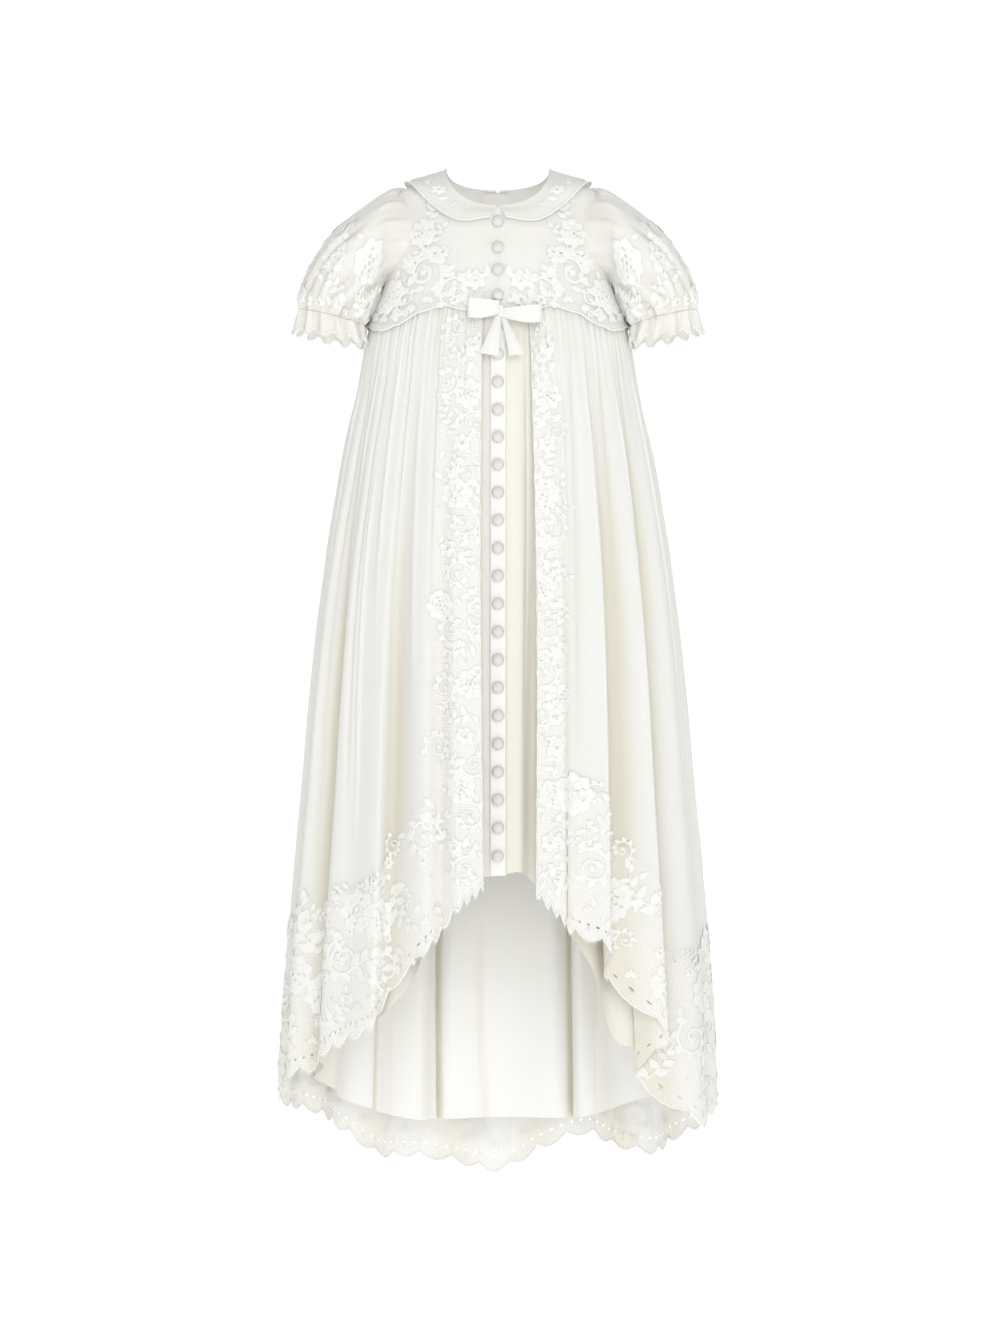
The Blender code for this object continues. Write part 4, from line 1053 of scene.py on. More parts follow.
class Shader:
    """A Principled material and short ways to add nodes to it."""

    def __init__(self, name, colour, roughness, sheen=0.0, specular=0.5):
        self.material = bpy.data.materials.new(name)
        self.material.use_nodes = True
        self.nodes = self.material.node_tree.nodes
        self.links = self.material.node_tree.links
        self.surface = self.nodes["Principled BSDF"]
        for socket, value in (("Base Color", (*colour, 1.0)), ("Roughness", roughness), ("Sheen Weight", sheen),
                              ("Sheen Roughness", 0.4), ("Specular IOR Level", specular)):
            self.surface.inputs[socket].default_value = value

    def add(self, kind, values=None, **settings):
        """Add a node; each of its inputs gets a value or a link from a socket."""
        node = self.nodes.new(kind)
        for key, value in settings.items():
            setattr(node, key, value)
        for key, value in (values or {}).items():
            if isinstance(value, bpy.types.NodeSocket):
                self.links.new(value, node.inputs[key])
            else:
                node.inputs[key].default_value = value
        return node

    def object_place(self):
        """The place on the object, in metres."""
        return self.add("ShaderNodeTexCoord").outputs["Object"]

    def uv(self, label):
        """The place on one of the piece's own maps, in millimetres."""
        return self.add("ShaderNodeUVMap", uv_map=label).outputs["UV"]

    def cloud(self, scale, detail=2.0):
        """Soft noise on the object's place."""
        values = {"Vector": self.object_place(), "Scale": scale, "Detail": detail}
        return self.add("ShaderNodeTexNoise", values).outputs["Fac"]

    def ribs(self, scale, distortion):
        """Slanting lines on the object's place."""
        values = {"Vector": self.object_place(), "Scale": scale, "Distortion": distortion}
        return self.add("ShaderNodeTexWave", values, bands_direction="DIAGONAL").outputs["Fac"]

    def math(self, operation, first, second=0.0, clamp=False):
        """One step of arithmetic on values or sockets."""
        node = self.add("ShaderNodeMath", {0: first, 1: second}, operation=operation, use_clamp=clamp)
        return node.outputs[0]

    def mix(self, factor, first, second):
        """Colour from the first to the second, each a colour or a socket."""
        colours = {key: colour if isinstance(colour, bpy.types.NodeSocket) else (*colour, 1.0)
                   for key, colour in ((6, first), (7, second))}
        return self.add("ShaderNodeMix", {0: factor, **colours}, data_type="RGBA").outputs[2]

    def tint_and_shade(self, cloud, colour, shadow=None):
        """A faint cloud in the colour, and painted shade in a warmer colour where the cloth lies deep in a fold.
        """
        result = self.mix(cloud, tuple(channel * CLOUD_DARKNESS for channel in colour), colour)
        if shadow is not None:
            deep = self.add("ShaderNodeAttribute", attribute_name="fold").outputs["Fac"]
            result = self.mix(deep, result, shadow)
        self.links.new(result, self.surface.inputs["Base Color"])

    def bump(self, height, strength, distance):
        """Raise the surface by a height that no mesh holds; the distance is in metres."""
        node = self.add("ShaderNodeBump", {"Height": height, "Strength": strength, "Distance": distance})
        self.links.new(node.outputs["Normal"], self.surface.inputs["Normal"])

    def see_through(self, alpha):
        """How much the cloth hides, from a socket."""
        self.links.new(alpha, self.surface.inputs["Alpha"])


def weave(shader, spacing):
    """Crossed threads: the product of two waves across and along the cloth, from its millimetre map."""
    split = shader.add("ShaderNodeSeparateXYZ", {0: shader.uv("cloth")})
    rate = 2.0 * math.pi / spacing
    across = shader.math("SINE", shader.math("MULTIPLY", split.outputs[0], rate))
    along = shader.math("SINE", shader.math("MULTIPLY", split.outputs[1], rate))
    return shader.math("MULTIPLY_ADD", shader.math("MULTIPLY", across, along), 0.5)


def chiffon_material(settings):
    """Sheer crinkled chiffon: crossed fine threads, a soft crinkle, and painted shade in a warmer tone in its
    folds.
    """
    colour = tuple(settings.chiffon)
    shader = Shader("chiffon", colour, 0.75, sheen=0.2, specular=0.2)
    shader.tint_and_shade(shader.cloud(16.0, 1.0), colour, tuple(settings.fold_shadow))
    crinkle = shader.math("MULTIPLY", shader.cloud(260.0, 3.0), 0.7)
    shader.bump(shader.math("ADD", crinkle, weave(shader, millimetres("chiffon_crepe"))), 0.35, 0.0002)
    threads = shader.math("MULTIPLY", weave(shader, millimetres("chiffon_weave")), 0.1)
    shader.see_through(shader.math("ADD", threads, settings.chiffon_cover - 0.02, clamp=True))
    return shader.material


def satin_material(settings, name, colour, roughness):
    """Smooth heavy satin: a fine twill line, a faint cloud in its shine, and painted shade in its folds."""
    colour = tuple(colour)
    shader = Shader(name, colour, roughness, sheen=0.1, specular=0.25)
    cloud = shader.cloud(24.0)
    shader.tint_and_shade(cloud, colour, tuple(settings.fold_shadow))
    shine = shader.add("ShaderNodeMapRange", {"Value": cloud, "To Min": roughness - 0.06,
                                              "To Max": roughness + 0.06})
    shader.links.new(shine.outputs[0], shader.surface.inputs["Roughness"])
    shader.bump(shader.ribs(420.0, 0.4), 0.12, 0.0001)
    return shader.material


def net_material(settings, name, eyelets=False):
    """Lace ground: threads of a small-celled net over a sheer web, with round eyelets near a scalloped edge."""
    colour = tuple(settings.net)
    shader = Shader(name, colour, 0.8, sheen=0.15, specular=0.2)
    # Painted shade in a warmer colour where the lace lies deep in a fold
    shader.tint_and_shade(shader.cloud(60.0), colour, tuple(settings.fold_shadow))
    values = {"Vector": shader.uv("cloth"), "Scale": 1.0 / millimetres("net_cell"), "Randomness": 0.3}
    cells = shader.add("ShaderNodeTexVoronoi", values, feature="DISTANCE_TO_EDGE", voronoi_dimensions="2D")
    values = {"Value": cells.outputs["Distance"], "From Min": NET_THREAD[0], "From Max": NET_THREAD[1],
              "To Min": 1.0, "To Max": settings.net_cover}
    alpha = shader.add("ShaderNodeMapRange", values).outputs[0]
    shader.bump(alpha, 0.5, 0.0003)
    if eyelets:
        far = shader.add("ShaderNodeVectorMath", {0: shader.uv("eyelet")}, operation="LENGTH").outputs["Value"]
        alpha = shader.math("MULTIPLY", alpha, shader.math("GREATER_THAN", far, millimetres("eyelet_radius")))
    shader.see_through(alpha)
    return shader.material


def organza_material(settings):
    """Crisp sheer ground of yoke, sleeves and collar: fine crossed threads with a little shine."""
    colour = tuple(settings.organza)
    shader = Shader("organza", colour, 0.6, sheen=0.2, specular=0.3)
    # Painted shade in a warmer colour where the organza lies deep in a fold
    shader.tint_and_shade(shader.cloud(30.0), colour, tuple(settings.fold_shadow))
    threads = weave(shader, millimetres("organza_weave"))
    shader.bump(threads, 0.3, 0.0002)
    cover = shader.math("MULTIPLY", threads, 0.14)
    shader.see_through(shader.math("ADD", cover, settings.organza_cover - 0.04, clamp=True))
    return shader.material


def motif_material(settings):
    """Thick embroidery thread of the lace motifs: fine ribs of thread in a slightly brighter white."""
    colour = tuple(settings.motif)
    shader = Shader("lace_thread", colour, 0.62, sheen=0.3, specular=0.3)
    shader.tint_and_shade(shader.cloud(90.0), colour)
    shader.bump(shader.ribs(520.0, 3.0), 0.3, 0.0002)
    return shader.material


CLOTHS = {}


def millimetres(name):
    """One of the panel's sizes, in millimetres."""
    return round(getattr(bpy.context.scene.gown_sizes, name) / MM, 4)


def cloth(name):
    """The gown's materials, made once from the colours in the panel."""
    if not CLOTHS:
        settings = bpy.context.scene.gown_cloth
        CLOTHS["chiffon"] = chiffon_material(settings)
        CLOTHS["satin"] = satin_material(settings, "satin", settings.satin, 0.42)
        CLOTHS["ribbon"] = satin_material(settings, "ribbon_satin", settings.ribbon, 0.32)
        CLOTHS["button"] = satin_material(settings, "button_satin", settings.button, 0.24)
        CLOTHS["net"] = net_material(settings, "net")
        CLOTHS["hem_net"] = net_material(settings, "hem_net", eyelets=True)
        CLOTHS["organza"] = organza_material(settings)
        CLOTHS["thread"] = motif_material(settings)
    return CLOTHS[name]


# ---------------------------------------------------------------- pieces of the gown

CHIFFON_PANELS = (
    ("chiffon_front_right", "overskirt_front_right", RIGHT_BORDER, RIGHT_SIDE),
    ("chiffon_back", "overskirt_back", RIGHT_SIDE, LEFT_SIDE),
    ("chiffon_front_left", "overskirt_front_left", LEFT_SIDE, LEFT_BORDER),
)
HEM_BANDS = (
    ("hem_band_right", "hem_lace_right", RIGHT_BORDER, RIGHT_SIDE),
    ("hem_band_back", "hem_lace_back", RIGHT_SIDE, LEFT_SIDE),
    ("hem_band_left", "hem_lace_left", LEFT_SIDE, LEFT_BORDER),
)
BORDERS = (
    ("border_right", "front_lace_right", 0.0, RIGHT_BORDER),
    ("border_left", "front_lace_left", LEFT_BORDER, OVERSKIRT.last),
)
SLIP_PANELS = (
    ("slip_satin_front_right", "slip_front_right", 0.0, SLIP_RIGHT_SIDE),
    ("slip_satin_back_right", "slip_back_right", SLIP_RIGHT_SIDE, SLIP_BACK),
    ("slip_satin_back_left", "slip_back_left", SLIP_BACK, SLIP_LEFT_SIDE),
    ("slip_satin_front_left", "slip_front_left", SLIP_LEFT_SIDE, SLIP.last),
)

# Fineness of the grids: columns for each pleat and rows from top to bottom
CHIFFON_COLUMNS, CHIFFON_ROWS = 30, 110
HEM_COLUMNS, HEM_ROWS = 48, 30
BORDER_COLUMNS, BORDER_ROWS = 50, 160
SLIP_COLUMNS, SLIP_ROWS = 20, 80
# Share of the painted fold shade that the lace ground gets
NET_SHADE_SHARE = 0.8

# Surfaces that lace is laid on: short steps, reach and limits are in their own first coordinate
SKIRT_GROUND = Ground(OVERSKIRT.point, (0.1, 4.0), 1.6, (0.02, OVERSKIRT.last - 0.02))


def both_sides(surface, steps, reach, limits):
    """The grounds of a right piece and of its mirrored left piece."""
    return (
        ("right", Ground(surface, steps, reach, limits)),
        ("left", Ground(mirrored(surface), steps, reach, limits, -1.0)),
    )


YOKE_GROUNDS = both_sides(yoke_point, (3.0, 4.0), 60.0, (0.5, 179.5))
SLEEVE_GROUNDS = both_sides(sleeve_point, (0.08, 0.03), 1.6, (-9.0, 9.0))
FRILL_GROUNDS = both_sides(ruffle_point, (0.08, 0.03), 1.6, (-9.0, 9.0))
COLLAR_GROUNDS = both_sides(collar_point, (3.0, 0.08), 50.0, (2.0, 178.0))


def pleat_numbers(start, end, columns):
    """Pleat numbers from one to another, with this many columns for each pleat."""
    return np.linspace(start, end, int((end - start) * columns) + 1)


def build_chiffon():
    """Three chiffon panels, each from the waist to just under the top of the hem lace."""
    for name, node, start, end in CHIFFON_PANELS:
        number = pleat_numbers(start, end, CHIFFON_COLUMNS)
        drop = down_grid(OVERSKIRT_TOP, lace_top(number) + 6.0, CHIFFON_ROWS)
        cloth_piece(name, node, OVERSKIRT.point(number, drop), "chiffon",
                    OVERSKIRT.fold(number, drop))


def eyelet_map(number, drop):
    """Distance from the nearest eyelet's middle, across and down, in millimetres."""
    pitch = 20.0 / EYELETS_PER_SCALLOP
    phase = EYELETS_PER_SCALLOP * (SCALLOPS_PER_PLEAT * (number + SCALLOP_SHIFT) - 0.5)
    across = np.abs(phase - np.round(phase)) * pitch
    return np.stack(np.broadcast_arrays(across, drop - OVERSKIRT.hem(number) + EYELET_RISE), axis=-1)


def build_hem_lace():
    """Three hem bands, half a wall outside the chiffon, with a waved top and a scalloped lower edge."""
    for name, node, start, end in HEM_BANDS:
        number = pleat_numbers(start, end, HEM_COLUMNS)
        top = lace_top(number) - 3.0 - 3.0 * np.abs(np.sin(2.0 * np.pi * number))
        drop = down_grid(top, hem_edge(number), HEM_ROWS)
        points = OVERSKIRT.point(number, drop)
        normal = unit(np.cross(np.gradient(points, axis=0), np.gradient(points, axis=1)))
        cloth_piece(name, node, points + normal * SKIRT_HALF_WALL, "hem_net",
                    OVERSKIRT.fold(number, drop) * NET_SHADE_SHARE, eyelet_map(number, drop))


def build_borders():
    """The lace borders down both front edges, from the waist to the scalloped hem."""
    for name, node, start, end in BORDERS:
        number = np.linspace(start, end, BORDER_COLUMNS)
        drop = down_grid(OVERSKIRT_TOP, hem_edge(number), BORDER_ROWS)
        cloth_piece(name, node, OVERSKIRT.point(number, drop), "net",
                    OVERSKIRT.fold(number, drop) * NET_SHADE_SHARE)


# How far the motifs stay from the top and bottom of the hem band and of the borders
HEM_CLEAR_TOP, HEM_CLEAR_BOTTOM = 4.0, 26.0
BORDER_CLEAR_TOP, BORDER_CLEAR_BOTTOM = 20.0, 34.0


def hem_place(number, share):
    """Drop of a motif at a share of the hem band, from its top to the fans above the scallops."""
    top = single(lace_top, number)
    return top + HEM_CLEAR_TOP + share * (single(OVERSKIRT.hem, number) - HEM_CLEAR_BOTTOM - top)


def border_place(number, share):
    """Drop of a motif at a share of the way down a border."""
    length = single(OVERSKIRT.hem, number) - BORDER_CLEAR_BOTTOM - OVERSKIRT_TOP
    return OVERSKIRT_TOP + BORDER_CLEAR_TOP + share * length


HEM_LOBES = range(4, 52)
LACE_TOP_MOTIFS = 110
LACE_TOP_KINDS = ("spray", "leaf", "daisy", "volute_left", "leaf", "bud")
LACE_TOP_SIZES = (0.7, 1.0, 0.9, 0.8, 0.9, 1.1)


def hem_rows():
    """Motifs of the hem band.

    Large flowers and scrolls in turn, with leaves and buds between them, a fan and a bud on each scallop with
    a leaf beside them, and a waving row that hides the band's top.
    """
    start, end = RIGHT_BORDER + 0.05, LEFT_BORDER - 0.05
    rows = sown(58, LARGE_MOTIFS, (1.35, 1.5, 1.3, 1.6), RIGHT_BORDER + 0.1, LEFT_BORDER - 0.1, hem_place)
    rows += sown(190, ("leaf", "daisy", "leaf", "bud", "volute", "leaf"), (0.8, 0.7, 0.9, 0.75), start, end,
                 hem_place, 3)
    for lobe in HEM_LOBES:
        number = (lobe + 0.5) / SCALLOPS_PER_PLEAT - SCALLOP_SHIFT
        hem = single(OVERSKIRT.hem, number)
        rows += [("fan", number, hem - 16.0, 0.0, 0.85), ("bud", number, hem - 2.0, 0.0, 0.6),
                 ("leaf", number + 0.5 / SCALLOPS_PER_PLEAT, hem - 11.0, 0.0, 0.55)]
    for step in range(LACE_TOP_MOTIFS):
        number = start + (LEFT_BORDER - RIGHT_BORDER - 0.1) * (step + 0.5) / LACE_TOP_MOTIFS
        drop = single(lace_top, number) + 1.0 + 7.0 * math.sin(step * 1.3)
        rows.append((LACE_TOP_KINDS[step % 6], number, drop, (step * 77.0) % 360.0, LACE_TOP_SIZES[step % 6]))
    return rows


BORDER_LARGE = 34
BORDER_LARGE_KINDS = ("volute", "daisy", "spray", "volute_left", "rose", "spray_left")
BORDER_LARGE_SIZES = (1.1, 1.2, 0.95, 1.1, 0.95, 0.95)
BORDER_SMALL = 90


def border_rows():
    """Motifs of the two borders, in order down them, with the golden ratio giving how far across each lies."""
    rows = []
    for start, end in ((0.12, RIGHT_BORDER - 0.12), (LEFT_BORDER + 0.12, OVERSKIRT.last - 0.12)):
        for k in range(BORDER_LARGE):
            number = start + (end - start) * ((k * GOLDEN_SHARE + 0.2) % 1.0)
            rows.append((BORDER_LARGE_KINDS[k % 6], number, border_place(number, (k + 0.5) / BORDER_LARGE),
                         (k * GOLDEN_DEGREES) % 360.0, BORDER_LARGE_SIZES[k % 6]))
        for k in range(BORDER_SMALL):
            number = start - 0.06 + (end - start + 0.12) * ((k * GOLDEN_SHARE + 0.7) % 1.0)
            rows.append((("leaf", "bud", "leaf")[k % 3], number, border_place(number, (k + 0.5) / BORDER_SMALL),
                         (k * 99.0) % 360.0, 0.7))
    return rows


def build_skirt_motifs():
    """The raised motifs of hem bands and borders, one piece for each sheet that they are sewn to."""
    hem, border = hem_rows(), border_rows()
    for name, rows, low, high, lift in (
        ("hem_motifs_right", hem, 0.0, RIGHT_SIDE, 0.7),
        ("hem_motifs_back", hem, RIGHT_SIDE, LEFT_SIDE, 0.7),
        ("hem_motifs_left", hem, LEFT_SIDE, OVERSKIRT.last, 0.7),
        ("border_motifs_right", border, 0.0, RIGHT_SIDE, 0.3),
        ("border_motifs_left", border, LEFT_SIDE, OVERSKIRT.last, 0.3),
    ):
        relief(name, SKIRT_GROUND, [row for row in rows if low <= row[1] < high], lift)


# Points along the cords and fringes, a fringe's waver, and the waves of the front borders' edge
HEM_CORD_POINTS, HEM_FRINGE_THREADS = 1400, 1500
EDGE_CORD_POINTS, EDGE_FRINGE_THREADS = 300, 420
FRINGE_WAVER = 61.0
EDGE_WAVE_LENGTH = 9.0


def build_skirt_edges():
    """Cords and fringed threads along the hem's scallops and down the two front edges."""
    number = np.linspace(0.0, OVERSKIRT.last, HEM_CORD_POINTS)
    edge_cord("hem_edge_cord", SKIRT_GROUND, number, hem_edge(number) - 0.6)
    number = np.linspace(0.01, OVERSKIRT.last - 0.01, HEM_FRINGE_THREADS)
    lashes("hem_lashes", OVERSKIRT.point, number, hem_edge(number), 0.0 * number,
           millimetres("hem_fringe") + np.sin(number * FRINGE_WAVER))
    for name, place, away in (("border_edge_right", 0.0, 0.03), ("border_edge_left", OVERSKIRT.last, -0.03)):
        hem = single(OVERSKIRT.hem, place)
        drop = np.linspace(OVERSKIRT_TOP + 2.0, hem, EDGE_CORD_POINTS)
        wave = np.abs(np.sin(drop / EDGE_WAVE_LENGTH)) * away
        edge_cord(name, SKIRT_GROUND, place + away * 0.4 + wave, drop, 1.3, 0.6)
        drop = np.linspace(OVERSKIRT_TOP + 4.0, hem, EDGE_FRINGE_THREADS)
        lashes(name + "_lashes", OVERSKIRT.point, place + 0.0 * drop, drop,
               -away * (1.6 + 0.6 * np.sin(drop * 0.9)), 0.0 * drop)


# Angles between which the slip's back is seen from the front, and between which its front lies under the
# overskirt's two edges, with the widths over which the limits ease
SEEN_INSIDE = (100.0, 260.0, 25.0, 25.0)
UNDER_RIGHT_EDGE = (6.5, 40.0, 5.0, 10.0)
UNDER_LEFT_EDGE = (320.0, 352.0, 10.0, 5.0)
# Painted shade on the slip: where it starts and eases in inside the back, its strength on the front, on the far
# pleats and beside the left edge, and the crease depth that gets it in full
INSIDE_SHADE_START = 500.0
INSIDE_SHADE_EASE = 200.0
SLIP_FRONT_SHADE = 0.6
FAR_PLEAT_DEPTH = 11.0
FAR_PLEAT_SHADE = 0.4
INSIDE_CREASE_DEPTH = 3.0
UNDER_LEFT_SHADE = 0.5


def slip_fold_shade(number, drop):
    """Painted shade of each point of the slip, 0 to 1.

    Outside, the overskirt's shade is painted on the front, most of all beside its two edges. Inside, the back
    is seen from behind, so shade is painted on its ridges, the deep places seen from there, and on its box
    pleats, the slip's creases.
    """
    angle = SLIP.column("hem_angle", number)
    inside = between(angle, *SEEN_INSIDE)
    far = FAR_PLEAT_SHADE * np.clip(1.0 - SLIP.inward(number) / FAR_PLEAT_DEPTH, 0.0, 1.0) ** 2.5
    box_pleat_shade = np.clip(SLIP.crease(number, drop) / (2.0 * INSIDE_CREASE_DEPTH), 0.0, 1.0) * 2.0
    seen = np.maximum(far, box_pleat_shade) * ease((drop - INSIDE_SHADE_START) / INSIDE_SHADE_EASE)
    fold = SLIP.fold(number, drop)
    fold = fold + (seen - fold) * inside
    under_left = UNDER_LEFT_SHADE * between(angle, *UNDER_LEFT_EDGE)
    fold = np.maximum(fold, np.maximum(between(angle, *UNDER_RIGHT_EDGE), under_left))
    return np.maximum(fold, SLIP_FRONT_SHADE * (1.0 - inside))


def build_slip():
    """The slip's four satin panels, from the waist to the hem."""
    for name, node, start, end in SLIP_PANELS:
        number = pleat_numbers(start, end, SLIP_COLUMNS)
        drop = down_grid(SLIP_TOP, SLIP.hem(number), SLIP_ROWS)
        cloth_piece(name, node, SLIP.point(number, drop), "satin", slip_fold_shade(number, drop))


def band_front(drop):
    """Y of the button band's face, one wall in front of the slip's outer section."""
    return slip_inset(0.0, drop) - section(SKIRT, drop)[1] - BAND_STAND


def yoke_face(drop):
    """Y of the yoke at the centre front."""
    return -section(YOKE, drop)[1]


def build_band():
    """The button band: a flat strip whose two long edges turn back to the slip."""
    drop = np.linspace(BAND_TOP, BAND_BOTTOM, 120)[:, None]
    across, back = (BAND_SECTION[name] for name in ("across", "back"))
    ripple = 0.35 * np.sin(drop / 11.0) * (1.0 - across ** 2)
    y = band_front(drop) + back + ripple
    points = np.stack(np.broadcast_arrays(across * BAND_HALF_WIDTH, y, -drop), axis=-1)
    cloth_piece("band_satin", "button_band", points, "satin")


def yoke_drops(edge, rows):
    """Rows from the neck points to the underarm, and then down to the scalloped edge."""
    top = NECK_POINT_DROP + 0.8
    upper = top + np.linspace(0.0, 1.0, rows) ** 1.3 * (UNDERARM_DROP - top)
    lower = UNDERARM_DROP + np.linspace(0.0, 1.0, 13)[1:, None] * (edge - UNDERARM_DROP)
    return np.vstack((np.repeat(upper[:, None], len(edge), axis=1), lower))


def armhole_reach(drop):
    """Degrees that the armhole takes out of a yoke panel at this drop."""
    level = (drop - ARMHOLE_MIDDLE) / ARMHOLE_HALF
    return ARMHOLE_DEGREES * np.clip(1.0 - level ** 2, 0.0, 1.0) ** ARMHOLE_POWER


def neck_angle(drop, neck_drop):
    """Angle from the centre at which the neck edge lies at this drop, 0 below the neck."""
    level = (drop - NECK_POINT_DROP) / (neck_drop - NECK_POINT_DROP)
    neck_x = NECK_HALF_WIDTH * np.sqrt(np.clip(1.0 - level ** 2, 0.0, 1.0))
    return np.degrees(np.arcsin(np.clip(neck_x / section(YOKE, drop)[0], 0.0, 1.0)))


def yoke_edge(angle):
    """Drop of the yoke's lower edge, with small lobes along its waves."""
    folded = np.where(angle > 180.0, 360.0 - angle, angle)
    lobes = YOKE_LOBE_DEPTH * np.abs(np.sin(np.radians(folded) * YOKE_LOBES))
    return curve(folded, YOKE_EDGE["angle"], YOKE_EDGE["drop"]) + lobes


def build_yoke():
    """Four yoke panels: at each drop from the centre, or the neck edge, out to the side, or the armhole."""
    across = np.linspace(0.0, 1.0, 60)
    for side, sign in (("right", 1.0), ("left", -1.0)):
        for part, neck_drop in (("front", NECK_FRONT_DROP), ("back", NECK_BACK_DROP)):
            behind = part == "back"
            lower = across * 90.0
            drop = yoke_drops(yoke_edge(180.0 - lower if behind else lower), 46)
            inner = neck_angle(drop, neck_drop)
            angle = inner + (90.0 - armhole_reach(drop) - inner) * across
            points = yoke_point(180.0 - angle if behind else angle, drop) * (sign, 1.0, 1.0)
            cloth_piece("yoke_{}_{}".format(part, side), "bodice_{}_{}".format(part, side), points, "organza",
                        flip=behind != (side == "left"))


# Large motifs of the yoke: kind, angle from the centre front, drop, turn, size
YOKE_MOTIFS = (
    ("volute", 40.0, 98.0, 30.0, 1.6),
    ("rose", 63.0, 118.0, 20.0, 1.25),
    ("volute_left", 21.0, 114.0, -20.0, 1.25),
    ("spray", 33.0, 74.0, -20.0, 1.15),
    ("rose", 45.0, 62.0, 0.0, 0.95),
    ("spray_left", 46.0, 44.0, 10.0, 0.95),
    ("daisy", 11.0, 106.0, 0.0, 1.4),
    ("daisy", 53.0, 88.0, 0.0, 1.2),
    ("bud", 29.0, 94.0, 0.0, 1.3),
    ("leaf", 41.0, 36.0, 20.0, 1.1),
    ("spray_left", 81.0, 116.0, -10.0, 0.9),
    ("volute_left", 48.0, 122.0, 60.0, 1.0),
)


def build_placket():
    """The strip behind the back opening, a little inside the yoke."""
    drop = np.linspace(NECK_BACK_DROP + 3.0, PLACKET_BOTTOM, 30)[:, None]
    half_width, half_depth = section(YOKE, drop)
    angle = 180.0 - np.degrees(np.arcsin(np.linspace(*PLACKET_SIDES, 12) / half_width))
    points = section_point(half_width, half_depth, angle, drop, -PLACKET_INSET)
    cloth_piece("placket_strip", "back_placket", points, "organza")


# The plain middle of the yoke: drop of its lower edge, and the angles over which it rises to the collar
PLAIN_MIDDLE_DROP = 96.0
PLAIN_MIDDLE_RISE = 50.0
PLAIN_MIDDLE_START = 16.0
PLAIN_MIDDLE_EASE = 34.0
YOKE_MOTIF_LIMIT = 84.0


def yoke_place(angle, share):
    """Drop of a small motif: low at the centre front and back, up to the collar at the sides."""
    folded = min(angle, 180.0 - angle)
    top = PLAIN_MIDDLE_DROP - PLAIN_MIDDLE_RISE * single(ease, (folded - PLAIN_MIDDLE_START) / PLAIN_MIDDLE_EASE)
    drop = top + share * (single(yoke_edge, angle) - 5.0 - top)
    return None if folded > YOKE_MOTIF_LIMIT - float(armhole_reach(drop)) else drop


def build_yoke_motifs():
    """Scrolls and flowers from the sides and from below, the same kind on the back."""
    rows = list(YOKE_MOTIFS)
    rows += [(kind, 180.0 - angle, drop, -turn, size) for kind, angle, drop, turn, size in YOKE_MOTIFS]
    rows += sown(90, ("leaf", "bud", "leaf", "daisy", "leaf"), (0.85, 0.9, 0.75), 4.0, 176.0, yoke_place)
    rows += sown(60, ("leaf", "leaf", "bud"), (0.8, 0.7), 4.0, 176.0, yoke_place, 5)
    rows += [("fan", angle, single(yoke_edge, angle) - 7.0, 0.0, 0.8) for angle in np.arange(7.0, 176.0, 9.0)]
    for side, ground in YOKE_GROUNDS:
        relief("yoke_motifs_" + side, ground, rows, 0.7)
        angle = np.linspace(0.5, 179.5, 500)
        edge_cord("yoke_edge_cord_" + side, ground, angle, yoke_edge(angle) - 0.4)


# Motifs of a collar half: kind, degrees round the neck, share of the way out, turn, size
COLLAR_MOTIFS = (
    ("daisy", 62.0, 0.5, 0.0, 0.9),
    ("leaf", 74.0, 0.62, 50.0, 0.8),
    ("leaf", 50.0, 0.6, -40.0, 0.8),
    ("spray", 84.0, 0.85, -60.0, 0.6),
    ("bud", 40.0, 0.55, 0.0, 0.9),
    ("daisy", 118.0, 0.5, 0.0, 0.9),
    ("leaf", 104.0, 0.55, 60.0, 0.8),
    ("leaf", 134.0, 0.55, -60.0, 0.8),
    ("bud", 150.0, 0.5, 0.0, 0.9),
)


def build_collar():
    """Both collar halves with their corded edge and a few small motifs."""
    around = np.linspace(2.0, 178.5, 150)
    across = np.concatenate((np.linspace(0.0, COLLAR_ROLL_SHARE, 9), np.linspace(0.2, 1.0, 15)))[:, None]
    for side, ground in COLLAR_GROUNDS:
        cloth_piece("collar_cloth_" + side, "collar_" + side, ground.surface(around, across), "organza",
                    flip=ground.side < 0.0)
        edge_cord("collar_edge_" + side, ground, around, 0.0 * around + 0.99, 1.8, 0.8)
        relief("collar_motifs_" + side, ground, COLLAR_MOTIFS, 0.4)


def build_sleeves():
    """Both puff sleeves and their frills, with motifs, a corded edge and fringed threads."""
    turn = np.linspace(0.0, FULL_TURN, 240, endpoint=False)
    along = np.linspace(0.0, 1.0, 60)[:, None]
    frill_along = np.linspace(0.0, 1.0, 12)[:, None]
    # Painted shade in the troughs of the frill's waves
    frill_shade = 0.3 * (1.0 - np.cos(turn * RUFFLE_WAVES)) + 0.0 * frill_along
    for (side, sleeve), (_, frill) in zip(SLEEVE_GROUNDS, FRILL_GROUNDS):
        flip = sleeve.side < 0.0
        cloth_piece("sleeve_cloth_" + side, "sleeve_" + side, sleeve.surface(turn, along), "organza",
                    sleeve_fold_shade(turn, along), ring=True, flip=flip)
        cloth_piece("frill_" + side, "sleeve_ruffle_" + side, frill.surface(turn, frill_along), "net",
                    frill_shade, ring=True, flip=flip)
        relief("sleeve_motifs_" + side, sleeve, sleeve_rows(), 0.4)
        closed = np.linspace(0.0, FULL_TURN, 500)
        edge_cord("frill_edge_" + side, frill, closed, 0.0 * closed + 0.98, 1.4, 0.6)
        fine = np.linspace(0.0, FULL_TURN, 420)
        lashes("frill_lashes_" + side, frill.surface, fine, 0.0 * fine + 1.0, 0.0 * fine,
               0.14 + 0.05 * np.sin(fine * 37.0))


def sleeve_place(turn, share):
    """Place along the sleeve: clear of the sheer shoulder on top, and down to the elastic."""
    top = 0.16 + 0.3 * max(math.cos(turn), 0.0) ** 2
    return top + share * (0.9 - top)


